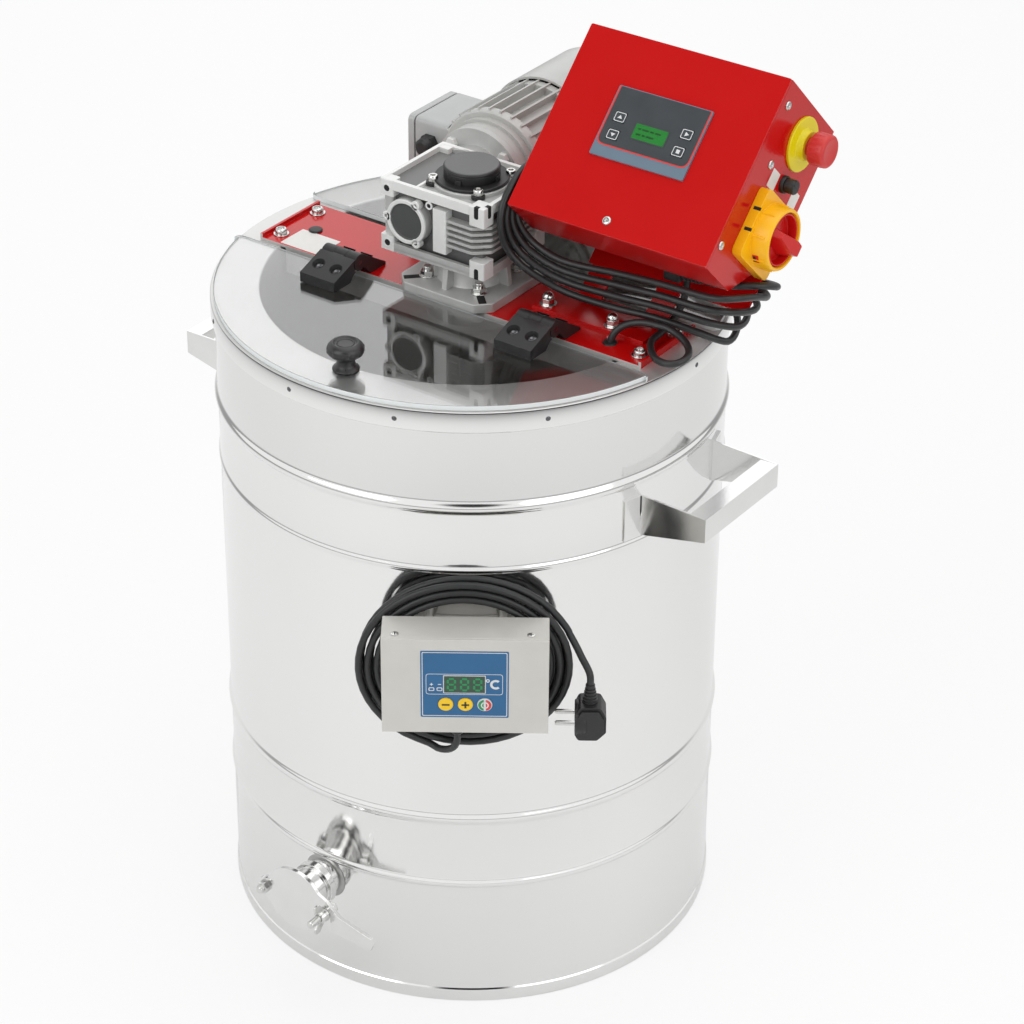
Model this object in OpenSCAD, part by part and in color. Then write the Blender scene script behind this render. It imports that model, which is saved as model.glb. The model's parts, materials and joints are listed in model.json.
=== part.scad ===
/* [Drum] */
// Outer diameter of the jacket
drum_d = 500; // [480:5:560]
// Height of the rim above the floor
drum_h = 685; // [660:5:760]
// Thickness of the jacket sheet
jacket_t = 2; // [1:0.5:3]
// Inner diameter of the honey tank
tank_d = 410; // [370:5:430]
// Thickness of the tank sheet
tank_t = 2; // [1:0.5:3]
// Height of the tank floor above the ground
tank_floor = 100; // [80:2:104]
// Thickness of the base plate
base_t = 3; // [2:0.5:6]
// Thickness of the heating mat
mat_t = 2; // [1:0.5:4]
// Height of the band round the rim
rim_band_h = 20; // [12:1:28]
// How far the rim band stands out from the jacket
rim_band_out = 3.5; // [1:0.5:5]
// How far the wide beads stand out from the jacket
bead_out = 2.5; // [1:0.5:4]

/* [Handles] */
// Distance of the grip bar from the drum
handle_reach = 65; // [50:1:80]
// Length of the grip bar
handle_w = 128; // [100:2:150]
// Height of the grip bar
handle_bar_h = 25; // [18:1:32]
// Thickness of the handle sheet
handle_t = 2; // [1.5:0.5:4]
// Height of the grip bar's lower edge
handle_z = 537; // [532:1:545]

/* [Cover] */
// Thickness of the lid sheets
lid_t = 5; // [3:0.5:6]
// How far each end of the crossbar reaches past the tank's bore
bar_reach = 22; // [20:1:32]
// Width of the crossbar
bar_w = 92; // [84:1:96]
// Thickness of the crossbar sheet
bar_t = 3; // [2:0.5:5]
// Depth of the crossbar's lower flanges
bar_flange_h = 30; // [15:1:45]
// Diameter of the lid knob
knob_d = 35; // [28:1:42]
// Height of the lid knob
knob_h = 28; // [24:1:36]
// Width of a hinge
hinge_w = 42; // [34:1:50]
// Diameter of the hinge pins
hinge_pin_d = 5; // [4:0.5:7]
// Diameter of the hinge knuckles
knuckle_d = 17; // [14:0.5:18]

/* [Drive] */
// Distance between the worm and the worm wheel
gear_a = 40; // [38:1:42]
// Diameter of the agitator shaft
shaft_d = 25; // [18:1:30]
// Diameter of the shaft end in the worm wheel
journal_d = 18; // [14:1:22]
// Width of the gearbox case along the worm
case_w = 100; // [98:1:110]
// Height of the gearbox case
case_h = 75; // [73:1:78]
// Side of the square mounting flange
flange_w = 110; // [105:1:120]
// Thickness of the mounting flange
flange_t = 10; // [6:1:14]
// Height of the neck over the mounting flange
neck_h = 25.5; // [22:0.5:34]
// Diameter of the motor flange
motor_flange_d = 105; // [100:1:112]
// Diameter over the motor fins
motor_d = 129; // [124:1:134]
// Length of the finned motor body
motor_l = 88; // [84:1:110]
// Diameter of the motor shaft
motor_shaft_d = 14; // [11:1:15]
// Length of the fan cowl
cowl_l = 92; // [86:1:110]

/* [Agitator] */
// Diameter of the circle that the agitator arms sweep
agitator_d = 360; // [280:5:365]
// Height of the agitator's side bars
agitator_h = 320; // [200:10:400]
// Width of the agitator bars
paddle_w = 30; // [20:1:40]
// Thickness of the agitator bars
paddle_t = 8; // [5:0.5:12]

/* [Control box] */
// Width of the control box
box_w = 220; // [200:5:240]
// Length of the sloping front
box_front = 192; // [185:1:210]
// Depth of the control box square to its front
box_depth = 118; // [110:1:126]
// Thickness of the housing sheet
box_wall = 2; // [1.5:0.5:3]
// Thickness of the front cover
cover_t = 3; // [2:0.5:4]
// Width of each bracket leg
leg_w = 25; // [18:1:30]
// Diameter of the emergency stop ring
estop_ring_d = 53; // [48:1:62]
// Diameter of the emergency stop button
estop_d = 32; // [28:1:40]
// Travel of the emergency stop button
estop_travel = 5; // [3:0.5:6]
// Side of the main switch plate
switch_w = 69; // [60:1:70]
// Diameter of the main switch knob
switch_knob_d = 50; // [44:1:51]
// Width of the keypad panel
keypad_w = 103; // [96:1:120]
// Height of the keypad panel
keypad_h = 71; // [66:1:80]
// Travel of the keys
key_travel = 0.5; // [0.2:0.1:0.8]

/* [Heating controller] */
// Width of the heating controller
heater_w = 155.5; // [150:0.5:170]
// Height of the heating controller
heater_h = 103.5; // [96:0.5:120]
// Depth of the heating controller
heater_depth = 40; // [34:1:55]
// Gap between the drum and the heating controller
heater_gap = 24; // [22:1:30]

/* [Honey gate] */
// Inner diameter of the outlet pipe
outlet_d = 36; // [28:1:40]
// Wall of the outlet pipe
outlet_t = 2; // [1.5:0.5:4]
// Height of the outlet above the floor
gate_z = 122; // [120:1:140]
// Distance of the fixed gate plate from the drum
gate_reach = 40; // [34:1:50]
// Thickness of the gate plates
gate_t = 4; // [3:0.5:6]
// Distance between the pivot bolt and the clamp stud
gate_bolt_pitch = 76; // [72:1:84]
// Diameter of the pivot bolt and the clamp stud
gate_bolt_d = 8; // [6:0.5:9]

/* [Leads] */
// Diameter of the mains and heater leads
cord_d = 7; // [6:0.5:7.5]
// Diameter of the short lead over the crossbar
link_d = 7; // [5:0.5:7.5]

/* [Hidden] */
$fn = 96;
slip = 0.3;
fit = 0.04;
eps = 0.01;
seat = 0.05;

jacket_r = drum_d / 2;
tank_r = tank_d / 2;
tank_out = tank_r + tank_t;
jacket_in = jacket_r - jacket_t;
ring_t = 1.5;
base_z = 12;
base_roll_h = 15;
base_roll_out = 1.5;
bar_top = drum_h + bar_t;
lid_z = drum_h + slip;
lid_top = lid_z + lid_t;

// Bead heights measured down from the rim and up from the floor, with half heights
beads = [[drum_h - 103, 7.5, bead_out + 0.5], [drum_h - 171, 4, bead_out - 1],
    [227, 7, bead_out], [148, 5, bead_out - 0.5]];

mat_z = 130;
mat_h = 200;
mat_in = tank_out + 0.2;
mat_out = mat_in + mat_t;
probe_az = -100;
probe_r = 3;
probe_l = 60;

handle_root_z = 519.5;
handle_root_h = 44;
handle_lip = 18;
handle_flange = 21;

bar_l = 2 * (tank_r + bar_reach);
bar_flange_l = 2 * sqrt(pow(tank_r, 2) - pow(bar_w / 2, 2)) - 10;
bar_screw_x = bar_l / 2 - 13;
bar_screw_y = 29;
bar_bore_d = 42;
lip_h = 4;
cable_hole = [178, -25];
dome_nuts = [[90, 0], [164, 0]];
foot_x0 = 78;
foot_y0 = -10;

lid_edge_y = bar_w / 2 + 11;
rear_lid_y = bar_w / 2 + 10;
lid_corner_x = 5;
hinge_x = [-111, 120];
hinge_y = -bar_w / 2 - 14;
hinge_z = lid_top + 15.7;
leaf_front = -41;
leaf_front_h = 10;
knob_x = 12;
knob_y = -213 * drum_d / 500;

gear_z = bar_top + flange_t + neck_h + case_h / 2;
teeth = 30;
gear_m = 2 * gear_a / (teeth + 10);
wheel_r = gear_m * teeth / 2;
worm_r = gear_m * 5;
wheel_tip = wheel_r + 0.75 * gear_m;
worm_tip = worm_r + 0.25 * gear_m;
worm_root = worm_r - 0.8 * gear_m;
worm_turns = 6;
worm_steps = 16;
wheel_face = 14;
hub_r = journal_d / 2 + 8.5;
hub_bottom = gear_z - case_h / 2 + 4.5;
hub_top = gear_z + case_h / 2 - 4.5;
bearing_w = 12;
wheel_bearing_r = hub_r + 10;
worm_front_r = 8;
worm_input_r = motor_shaft_d / 2 + 5;
worm_bearing_front = worm_front_r + 8;
worm_bearing_rear = worm_input_r + 9;
tunnel_r = max(worm_tip, worm_input_r) + 0.7;
case_left = gear_a + 31.5;
case_right = 50;
cap_h = 15;
cap_r = wheel_bearing_r;
flange_bolt_r = wheel_bearing_r + 16;
motor_neck = 22;
motor_face = case_w / 2 + motor_neck;
motor_body = motor_face + 18;
motor_end = motor_body + motor_l;
fin_r = motor_d / 2;
frame_r = fin_r - 9;
frame_in = frame_r - 7;
rotor_r = 29.5;
stator_in = rotor_r + 0.8;
motor_bearing_r = 17.5;
rotor_shaft_r = motor_shaft_d / 2 + 0.5;
cowl_y = motor_end - 2;
cowl_in = fin_r + 0.1;
cowl_out = cowl_in + 2.4;
fan_y = motor_end + 26;
fan_disc_r = motor_d / 2 - 16.5;
tbox_y = motor_body + 8;
tbox_l = 76;
tbox_z = -33;
tbox_h = 60;
tbox_out = 42;
tbox_gasket = -gear_a - fin_r + 2.5;

agitator_z = tank_floor + 25;
foot_journal_r = 10;
foot_bush_h = 20;

tilt = 45;
box_x = 283;
// Place of the control box's lower front edge above the crossbar
desk_y = -31;
desk_z = bar_top + 113;
box_nose = 58;
box_foot = box_depth - box_nose;
back_t = 3;
leg_x = [105, bar_screw_x - 34];
bracket_top_gap = 40;
flange_x = 100;
back_inset = 5;
leg_drop = (desk_z - bar_top) / cos(tilt) - box_depth - back_t;
key_places = [[-146.5, 111], [-146, 93], [-74, 113], [-75, 95]];
key_size = [12, 10];
keypad_t = 2;
keypad_x = -110;
keypad_u = 105.5;
estop_at = [156.5, -68.5];
estop_ring_t = 3;
estop_collar_h = 9.5;
switch_at = [63, -65];
fuse_at = [115, -69];
front_screws = [[-114, 13.6]];
side_screws = [[171, -14], [118, -31], [26, -9]];
mains_gland_x = 222;
mains_boot_l = 22;
mains_gland_y = 30;
link_gland = [216, 46];

heater_az = 35;
heater_z = 376;
heater_back = jacket_r + heater_gap;
heater_front = heater_back + heater_depth;
heater_keys = [59.8, 78.1, 96.2];
heater_key_drop = 71.2;
heater_key_d = 14;
heater_cover_t = 3;
peg_r = 4;
peg_x = 35;
heater_gland_x = -8;
heater_gland_d = heater_back + 12;

outlet_r = outlet_d / 2 + outlet_t;
gate_face = jacket_r + gate_reach;
pivot_x = -gate_bolt_pitch / 2;
stud_x = gate_bolt_pitch / 2;
seal_t = 1.3;
plate_y = gate_face + gate_t + seal_t + 0.1;

// Smooth sweep of a round cord along a list of points

function unit(v) = v / norm(v);
function heading(p, i) = unit(p[min(i + 1, len(p) - 1)] - p[max(i - 1, 0)]);
function sides_of(p, i, last) = i >= len(p) ? [] :
    let (t = heading(p, i), m = unit(last - (last * t) * t)) concat([m], sides_of(p, i + 1, m));
function least_gap(p, skip, d) =
    min([for (i = [0:len(p) - 1 - skip]) for (j = [i + skip:len(p) - 1]) norm(p[i] - p[j])]) - d;
function smooth(x) = let (c = min(1, max(0, x))) c * c * (3 - 2 * c);

module tube(p, d, count, first) {
    m = sides_of(p, 0, first);
    n = len(p);
    rings = [for (i = [0:n - 1]) for (k = [0:count - 1]) let (t = heading(p, i), a = 360 * k / count)
        p[i] + d / 2 * (cos(a) * m[i] + sin(a) * cross(t, m[i]))];
    walls = [for (i = [0:n - 2]) for (k = [0:count - 1]) for (half = [0, 1])
        let (k1 = (k + 1) % count, low = i * count, up = low + count)
        half == 0 ? [low + k, up + k, up + k1] : [low + k, up + k1, low + k1]];
    start = [for (k = [1:count - 2]) [0, k, k + 1]];
    end = [for (k = [1:count - 2]) [(n - 1) * count, (n - 1) * count + k + 1, (n - 1) * count + k]];
    polyhedron(points = rings, faces = concat(walls, start, end), convexity = 10);
}

// Route of the mains lead: out of its gland, round the bracket legs and down to its plug

// Inner and outer turn of the hank, from the box's right side round behind the legs and back
hank_inner = [[272, 0, 755], [293, 12, 757], [299, 40, 750], [294, 66, 737], [272, 88, 728],
    [205, 90, 724], [140, 91, 726], [82, 86, 734], [57, 68, 755], [57.4, 38, 794], [57.8, 5, 799],
    [58, -10, 780], [72, -7, 757], [110, -6, 745], [165, 0, 747], [220, 0, 752]];
hank_outer = [[246, 12, 708], [264, 24, 701], [270, 42, 694], [264, 66, 696], [243, 92, 697],
    [198, 104, 701], [135, 108, 706], [72, 112, 724], [57, 102, 765], [57.2, 46, 822], [57.5, -4, 823],
    [57.5, -35, 790], [65, -29, 748], [103, -12, 719], [155, -5, 713], [207, 3, 713]];
hank_knots = len(hank_inner);
hank_start = 3 / hank_knots;
hank_end = 4.3;
hank_first = 0.88;
hank_gaps = 3;
hank_rings = 2 * hank_knots;
function knot(i, s) = let (k = i % hank_knots) hank_inner[k] + s * (hank_outer[k] - hank_inner[k]);
function bend(a, b, c, d, u) =
    (2 * b + (c - a) * u + (2 * a - 5 * b + 4 * c - d) * u * u + (3 * b - a - 3 * c + d) * u * u * u) / 2;
function hank_at(t) = let (s = (t - hank_first) / hank_gaps, g = t * hank_knots, i = floor(g))
    bend(knot(i + hank_knots - 1, s), knot(i, s), knot(i + 1, s), knot(i + 2, s), g - i);
hank_count = round((hank_end - hank_start) * hank_rings);
hank_loops = [for (i = [0:hank_count]) hank_at(hank_start + (hank_end - hank_start) * i / hank_count)];
mains_out = [[244, 30, 751], [254, 30, 751], [264, 31, 752], [275, 34, 753], [286, 39, 754],
    [295, 46, 754], [300.5, 55, 751.5]];
mains_in = [[196, 106, 698], [186, 111, 699], [176, 117, 701], [166, 123, 704], [157, 128, 707],
    [148, 131, 709], [140, 131, 709]];
mains_path = concat(mains_out, hank_loops, mains_in);

// Route of the heater lead in the controller's own frame: across, away from the axis and up

coil_z = 419;
coil_r = 94;
coil_wide = 1.1;
coil_step = 8;
coil_from = -110;
coil_turns = 5 + 225 / 360;
coil_rings = 24;
coil_layers = [267, 259];
function coil_r_at(s) = coil_r - coil_step * min(s, coil_turns - s);
function coil_d_at(s) = coil_layers[0]
    + (coil_layers[1] - coil_layers[0]) * smooth((s - coil_turns / 2 + 0.25) / 0.5);
function coil_at(s) = let (a = coil_from - 360 * s, r = coil_r_at(s))
    [coil_wide * r * cos(a), -coil_d_at(s), coil_z + r * sin(a)];
coil_count = round(coil_turns * coil_rings);
coil_loops = [for (i = [0:coil_count]) coil_at(coil_turns * i / coil_count)];
heater_out = [[-8, -286, 356], [-8, -286, 349], [-10, -285, 341], [-14, -282, 335], [-20, -278, 331],
    [-27, -273, 329]];
heater_in = [[97, -260, 452], [101, -262, 445], [105, -265, 438], [109, -269, 431], [113, -273, 425],
    [116, -276.5, 419.5], [117, -278, 414], [117, -278, 408]];
heater_path = concat(heater_out, coil_loops, heater_in);

// Route of the short lead from the control box to the crossbar
link_path = [[216, 46, 744], [216, 46, 737], [216, 45, 728], [216, 42, 719], [215, 37, 710],
    [214, 30, 703], [213, 21, 699], [213, 11, 696], [213, 1, 695], [214, -8, 695], [218, -17, 696],
    [224, -26, 697], [232, -35, 698], [241, -42, 698], [252, -45, 699], [261, -42, 700],
    [266, -34, 702], [265, -25, 704], [259, -17, 706], [250, -11, 708], [240, -8, 710],
    [229, -7, 712], [218, -8, 712], [207, -10, 712], [197, -13, 710], [188, -17, 706],
    [182, -21, 700], [179, -24, 693], [178, -25, 686], [178, -25, 679], [178, -25, 672]];

echo(str("mains lead: least gap to itself ", least_gap(mains_path, 8, cord_d)));
echo(str("heater lead: least gap to itself ", least_gap(heater_path, 8, cord_d)));

// Tank

module ring(r_out, r_in, z, h) {
    rotate_extrude() translate([r_in, z]) square([r_out - r_in, h]);
}

module bead(z, half, out) {
    r = (half * half + out * out) / (2 * out);
    intersection() {
        translate([jacket_r + out - r, z]) circle(r = r, $fn = 64);
        translate([jacket_in, z - half - 1]) square([out + jacket_t + 1, 2 * half + 2]);
    }
}

module outer_shell() {
    color("gainsboro") difference() {
        rotate_extrude() {
            translate([jacket_in, 0]) square([jacket_t, drum_h - ring_t]);
            translate([jacket_in, 1]) square([jacket_t + base_roll_out, base_roll_h]);
            translate([jacket_in, drum_h - ring_t - rim_band_h + 2])
                square([jacket_t + rim_band_out, rim_band_h - 2]);
            for (b = beads) bead(b[0], b[1], b[2]);
        }
        outlet_hole();
    }
}

module outlet_hole() {
    translate([0, -tank_r + 20, gate_z]) rotate([90, 0, 0]) cylinder(r = outlet_r + fit, h = jacket_r);
}

module base_plate() {
    support_z = base_z + base_t;
    color("silver") {
        translate([0, 0, base_z]) cylinder(r = jacket_in - fit, h = base_t);
        ring(tank_r - 10, tank_r - 13, support_z - eps, tank_floor - tank_t - support_z + eps);
    }
}

module inner_tank() {
    color("whitesmoke") difference() {
        union() {
            translate([0, 0, tank_floor - tank_t]) cylinder(r = tank_out, h = tank_t);
            ring(tank_out, tank_r, tank_floor - tank_t, drum_h - tank_floor + tank_t);
            ring(jacket_r + rim_band_out, tank_r, drum_h - ring_t, ring_t);
        }
        outlet_hole();
        bar_screw_holes();
    }
}

module bar_screw_holes() {
    for (x = [-bar_screw_x, bar_screw_x]) for (y = [-bar_screw_y, bar_screw_y])
        translate([x, y, drum_h - 10]) cylinder(r = 3.2, h = 20, $fn = 24);
}

module insulation() {
    color("khaki") difference() {
        ring(jacket_in - 0.5, mat_out + 0.5, base_z + base_t + 5, drum_h - base_z - base_t - 30);
        outlet_hole();
        rotate([0, 0, probe_az]) translate([mat_in, -10, mat_z - 5]) cube([14, 20, mat_h + 10]);
    }
}

module heating_mat() {
    color("darkorange") difference() {
        ring(mat_out, mat_in, mat_z + 20, mat_h);
        rotate([0, 0, probe_az]) translate([tank_r, -10, mat_z - 5]) cube([14, 20, mat_h + 40]);
        outlet_hole();
    }
}

module temperature_probe() {
    color("gray") rotate([0, 0, probe_az]) translate([tank_out + probe_r + 0.2, 0, mat_z + 60]) {
        cylinder(r = probe_r, h = probe_l, $fn = 32);
        translate([-probe_r - 0.1, -8, 20]) cube([1.5, 16, 12]);
    }
}

module side_handle() {
    bar_x = jacket_r + handle_reach - handle_t;
    arm_y = handle_w / 2 - handle_t;
    root_x = sqrt(pow(jacket_r, 2) - pow(handle_w / 2, 2)) - 2;
    color("silver") difference() {
        union() {
            translate([bar_x, -handle_w / 2, handle_z]) cube([handle_t, handle_w, handle_bar_h]);
            translate([bar_x - handle_lip + handle_t, -arm_y, handle_z + handle_bar_h - handle_t])
                cube([handle_lip, 2 * arm_y, handle_t]);
            for (side = [-1, 1]) {
                translate([0, side > 0 ? handle_w / 2 : -arm_y, 0]) rotate([90, 0, 0])
                    linear_extrude(handle_t) polygon([[root_x, handle_root_z], [bar_x + handle_t, handle_z],
                        [bar_x + handle_t, handle_z + handle_bar_h],
                        [root_x, handle_root_z + handle_root_h]]);
                intersection() {
                    ring(jacket_r + handle_t, jacket_r, handle_root_z, handle_root_h);
                    translate([0, side > 0 ? arm_y : -arm_y - handle_flange, handle_root_z])
                        cube([jacket_r + 10, handle_flange, handle_root_h]);
                }
            }
        }
        translate([0, 0, handle_root_z - 10]) cylinder(r = jacket_r, h = handle_root_h + 20);
    }
}

module right_handle() side_handle();
module left_handle() rotate([0, 0, 180]) side_handle();

module foot_bush() {
    color("ivory") difference() {
        translate([0, 0, tank_floor]) cylinder(r = foot_journal_r + 12, h = foot_bush_h);
        translate([0, 0, tank_floor + 2]) cylinder(r = foot_journal_r + fit, h = foot_bush_h);
    }
}

// Honey gate, drawn facing the front with its plates upright

module at_gate(y) {
    translate([0, -y, gate_z]) rotate([90, 0, 0]) children();
}

module gate_body() {
    color("silver") difference() {
        union() {
            at_gate(tank_r - 1) cylinder(r = outlet_r, h = gate_face - tank_r + 1 + eps);
            at_gate(jacket_r + 12) cylinder(r = outlet_r + 4, h = 8);
            at_gate(gate_face) linear_extrude(gate_t) gate_outline();
        }
        at_gate(tank_r - 2) cylinder(r = outlet_d / 2, h = gate_face - tank_r + 20);
        at_gate(gate_face + gate_t - 1) ring(outlet_r + 5, outlet_r, 0, 2);
        for (x = [pivot_x, stud_x]) at_gate(gate_face - 1) translate([x, 0, 0])
            cylinder(r = gate_bolt_d / 2, h = gate_t + 2);
    }
}

module gate_outline() {
    circle(r = outlet_r + 10);
    translate([pivot_x, -gate_bolt_d]) square([gate_bolt_pitch, 2 * gate_bolt_d]);
    for (x = [pivot_x, stud_x]) translate([x, 0]) circle(r = gate_bolt_d);
}

module gate_seal() {
    color("black") at_gate(gate_face + gate_t - 1) ring(outlet_r + 4.9, outlet_r + 0.1, 0, 1 + seal_t);
}

module gate_bolts() {
    color("silver") {
        at_gate(gate_face - 5) translate([pivot_x, 0, 0]) {
            cylinder(r = gate_bolt_d * 0.8, h = 5, $fn = 6);
            cylinder(r = gate_bolt_d / 2, h = gate_t * 2 + seal_t + 10);
            translate([0, 0, 5 + gate_t * 2 + seal_t + 0.4]) cylinder(r = gate_bolt_d * 0.8, h = 5, $fn = 6);
        }
        at_gate(gate_face - 5) translate([stud_x, 0, 0]) {
            cylinder(r = gate_bolt_d * 0.8, h = 5, $fn = 6);
            cylinder(r = gate_bolt_d / 2, h = gate_t * 2 + seal_t + 24);
        }
    }
}

module gate_plate() {
    slot = gate_bolt_d / 2 + 1.2;
    color("silver") at_gate(plate_y) difference() {
        union() {
            cylinder(r = outlet_r + 16, h = gate_t);
            translate([pivot_x, 0, 0]) cylinder(r = gate_bolt_d + 2, h = gate_t);
            linear_extrude(gate_t) polygon([[0, outlet_r + 10], [stud_x - 15, 23], [stud_x + 3, 15],
                [stud_x + 18, 3], [stud_x + 58, -5], [stud_x + 60, -12], [stud_x + 57, -20],
                [stud_x + 8, -20], [stud_x + 7, -1], [0, -1]]);
        }
        translate([pivot_x, 0, -1]) cylinder(r = gate_bolt_d / 2 + fit, h = gate_t + 2);
        translate([stud_x, 0, -1]) cylinder(r = slot, h = gate_t + 2);
        translate([pivot_x, 0, 0]) intersection() {
            ring(gate_bolt_pitch + slot, gate_bolt_pitch - slot, -1, gate_t + 2);
            translate([0, -gate_bolt_pitch, -1]) cube([gate_bolt_pitch + 10, gate_bolt_pitch, gate_t + 2]);
        }
    }
}

module wing_nut() {
    color("silver") at_gate(plate_y + gate_t + 0.3) translate([stud_x, 0, 0]) difference() {
        union() {
            cylinder(r = gate_bolt_d * 0.85, h = 8);
            for (side = [-1, 1]) translate([0, side * 10, 8]) cube([3, 13, 13], center = true);
        }
        translate([0, 0, -1]) cylinder(r = gate_bolt_d / 2 + fit, h = 20);
    }
}

// Crossbar and lids

module crossbar() {
    color("firebrick") difference() {
        union() {
            translate([-bar_l / 2, -bar_w / 2, drum_h]) cube([bar_l, bar_w, bar_t]);
            for (x = [-bar_l / 2, bar_l / 2 - bar_t]) translate([x, -bar_w / 2, bar_top - eps])
                cube([bar_t, bar_w, lip_h + eps]);
            for (y = [-bar_w / 2, bar_w / 2 - bar_t])
                translate([-bar_flange_l / 2, y, drum_h - bar_flange_h])
                    cube([bar_flange_l, bar_t, bar_flange_h + eps]);
        }
        translate([0, 0, drum_h - 5]) cylinder(d = bar_bore_d, h = 20);
        translate([cable_hole[0], cable_hole[1], drum_h - 5]) cylinder(r = 6, h = 20);
        for (p = dome_nuts) translate([p[0], p[1], drum_h - 5]) cylinder(r = 3.1, h = 20, $fn = 24);
        bar_screw_holes();
    }
}

module dome_nut(z) {
    cylinder(r = 3, h = z + 8, $fn = 24);
    translate([0, 0, z]) cylinder(r = 6.4, h = 6, $fn = 6);
    translate([0, 0, z + 6]) intersection() {
        sphere(r = 5.5, $fn = 32);
        translate([-6, -6, 0]) cube([12, 12, 6]);
    }
}

module crossbar_fasteners() {
    stud_h = bar_t + 8;
    color("lightgray") {
        for (x = [-bar_screw_x, bar_screw_x]) for (y = [-bar_screw_y, bar_screw_y]) translate([x, y, bar_top]) {
            cylinder(r = 6, h = 7, $fn = 32);
            translate([0, 0, -bar_t - ring_t - 4]) cylinder(r = 3, h = bar_t + ring_t + 4 + eps, $fn = 24);
            translate([0, 0, -bar_t - ring_t - 5]) cylinder(r = 6, h = 5, $fn = 6);
        }
        for (p = dome_nuts) translate([p[0], p[1], drum_h - 5]) {
            dome_nut(5 + bar_t + 3);
            cylinder(r = 6, h = 5, $fn = 6);
        }
    }
}

module lid_disc(y0, y1) {
    intersection() {
        cylinder(r = jacket_r, h = lid_t);
        translate([-jacket_r + lid_corner_x, y0, -1]) cube([2 * (jacket_r - lid_corner_x), y1 - y0, lid_t + 2]);
    }
}

module front_lid() {
    color("lightcyan", 0.4) translate([0, 0, lid_z]) lid_disc(-jacket_r, -lid_edge_y);
}

module rear_lid() {
    color("lightcyan", 0.4) translate([0, 0, drum_h]) lid_disc(rear_lid_y, jacket_r);
}

module lid_knob() {
    head_r = knob_d / 2;
    head_h = knob_h * 0.48;
    edge = 4;
    color("black") translate([knob_x, knob_y, lid_top]) rotate_extrude() {
        square([head_r * 0.74, 2]);
        square([head_r / 2, knob_h - edge]);
        translate([0, knob_h - head_h]) square([head_r - edge, head_h]);
        translate([head_r - edge, knob_h - edge]) circle(r = edge, $fn = 32);
        translate([head_r - edge, knob_h - head_h + edge]) circle(r = edge, $fn = 32);
        translate([0, knob_h - head_h + edge]) square([head_r, head_h - 2 * edge]);
    }
}

// Hinges, drawn across the bar with their outline in the plane of the swing

module hinge_slab(x, w, points) {
    translate([x - w / 2, hinge_y, hinge_z]) rotate([90, 0, 90]) linear_extrude(w) polygon(points);
}

module knuckle(x, w, r) {
    translate([x - w / 2, hinge_y, hinge_z]) rotate([0, 90, 0]) cylinder(r = r, h = w);
}

module hinge_bases() {
    third = hinge_w / 3;
    foot_z = bar_top - hinge_z;
    color("black") for (x = hinge_x) difference() {
        union() {
            for (side = [-1, 1]) knuckle(x + side * third, third - slip, knuckle_d / 2);
            hinge_slab(x, hinge_w, [[0, 6], [5, 7], [40, foot_z + 3], [40, foot_z], [16, foot_z],
                [8, foot_z + 9], [0, -4]]);
        }
        knuckle(x, third + slip, knuckle_d / 2 + 1);
        knuckle(x, hinge_w + 2, hinge_pin_d / 2 + fit / 2);
    }
}

module hinge_leaves() {
    third = hinge_w / 3;
    foot_z = lid_top - hinge_z;
    color("black") for (x = hinge_x) {
        difference() {
            union() {
                knuckle(x, third - slip, knuckle_d / 2);
                hinge_slab(x, hinge_w, [[0, 5], [-8, 6], [leaf_front, foot_z + leaf_front_h],
                    [leaf_front, foot_z], [-16, foot_z], [-11, foot_z + 6], [0, -4]]);
            }
            for (side = [-1, 1]) knuckle(x + side * (third + 5), third + 10 + slip, knuckle_d / 2 + 1.5);
            knuckle(x, hinge_w + 2, hinge_pin_d / 2 + fit);
        }
    }
}

module hinge_pins() {
    color("gray") for (x = hinge_x) knuckle(x, hinge_w, hinge_pin_d / 2);
}

// Gearbox and motor, with the worm and motor shaft along the front to back direction

module at_motor(y) {
    translate([-gear_a, y, gear_z]) rotate([-90, 0, 0]) children();
}

module case_block() {
    translate([-case_left, -case_w / 2, gear_z - case_h / 2])
        cube([case_left + case_right, case_w, case_h]);
}

module gearbox_housing() {
    fin_n = 5;
    color("silver") difference() {
        union() {
            case_block();
            for (i = [0:fin_n - 1]) translate([case_right - eps, -case_w / 2 + 8, gear_z - 27 + 12 * i])
                cube([3, case_w - 16, 4]);
            for (i = [0:fin_n - 1]) translate([-12, -case_w / 2 - 3, gear_z - 27 + 12 * i])
                cube([case_right + 12 - 6, 3 + eps, 4]);
            at_motor(-case_w / 2 - 2) cylinder(r = 22.5, h = 10);
            at_motor(case_w / 2 - eps) cylinder(r = 36, h = motor_neck);
            at_motor(motor_face - 7) cylinder(d = motor_flange_d, h = 7);
        }
        translate([0, 0, gear_z - case_h / 2 - 1]) cylinder(r = wheel_bearing_r + fit, h = case_h + 2);
        translate([0, 0, gear_z - wheel_face / 2 - 6]) cylinder(r = wheel_tip + 2, h = wheel_face + 12);
        at_motor(-case_w / 2 + 4 + bearing_w) cylinder(r = tunnel_r, h = case_w);
        at_motor(-case_w / 2 - 3) cylinder(r = worm_bearing_front + fit, h = bearing_w + 8);
        at_motor(case_w / 2 - 4 - bearing_w) cylinder(r = worm_bearing_rear + fit, h = motor_neck + 20);
    }
}

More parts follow.
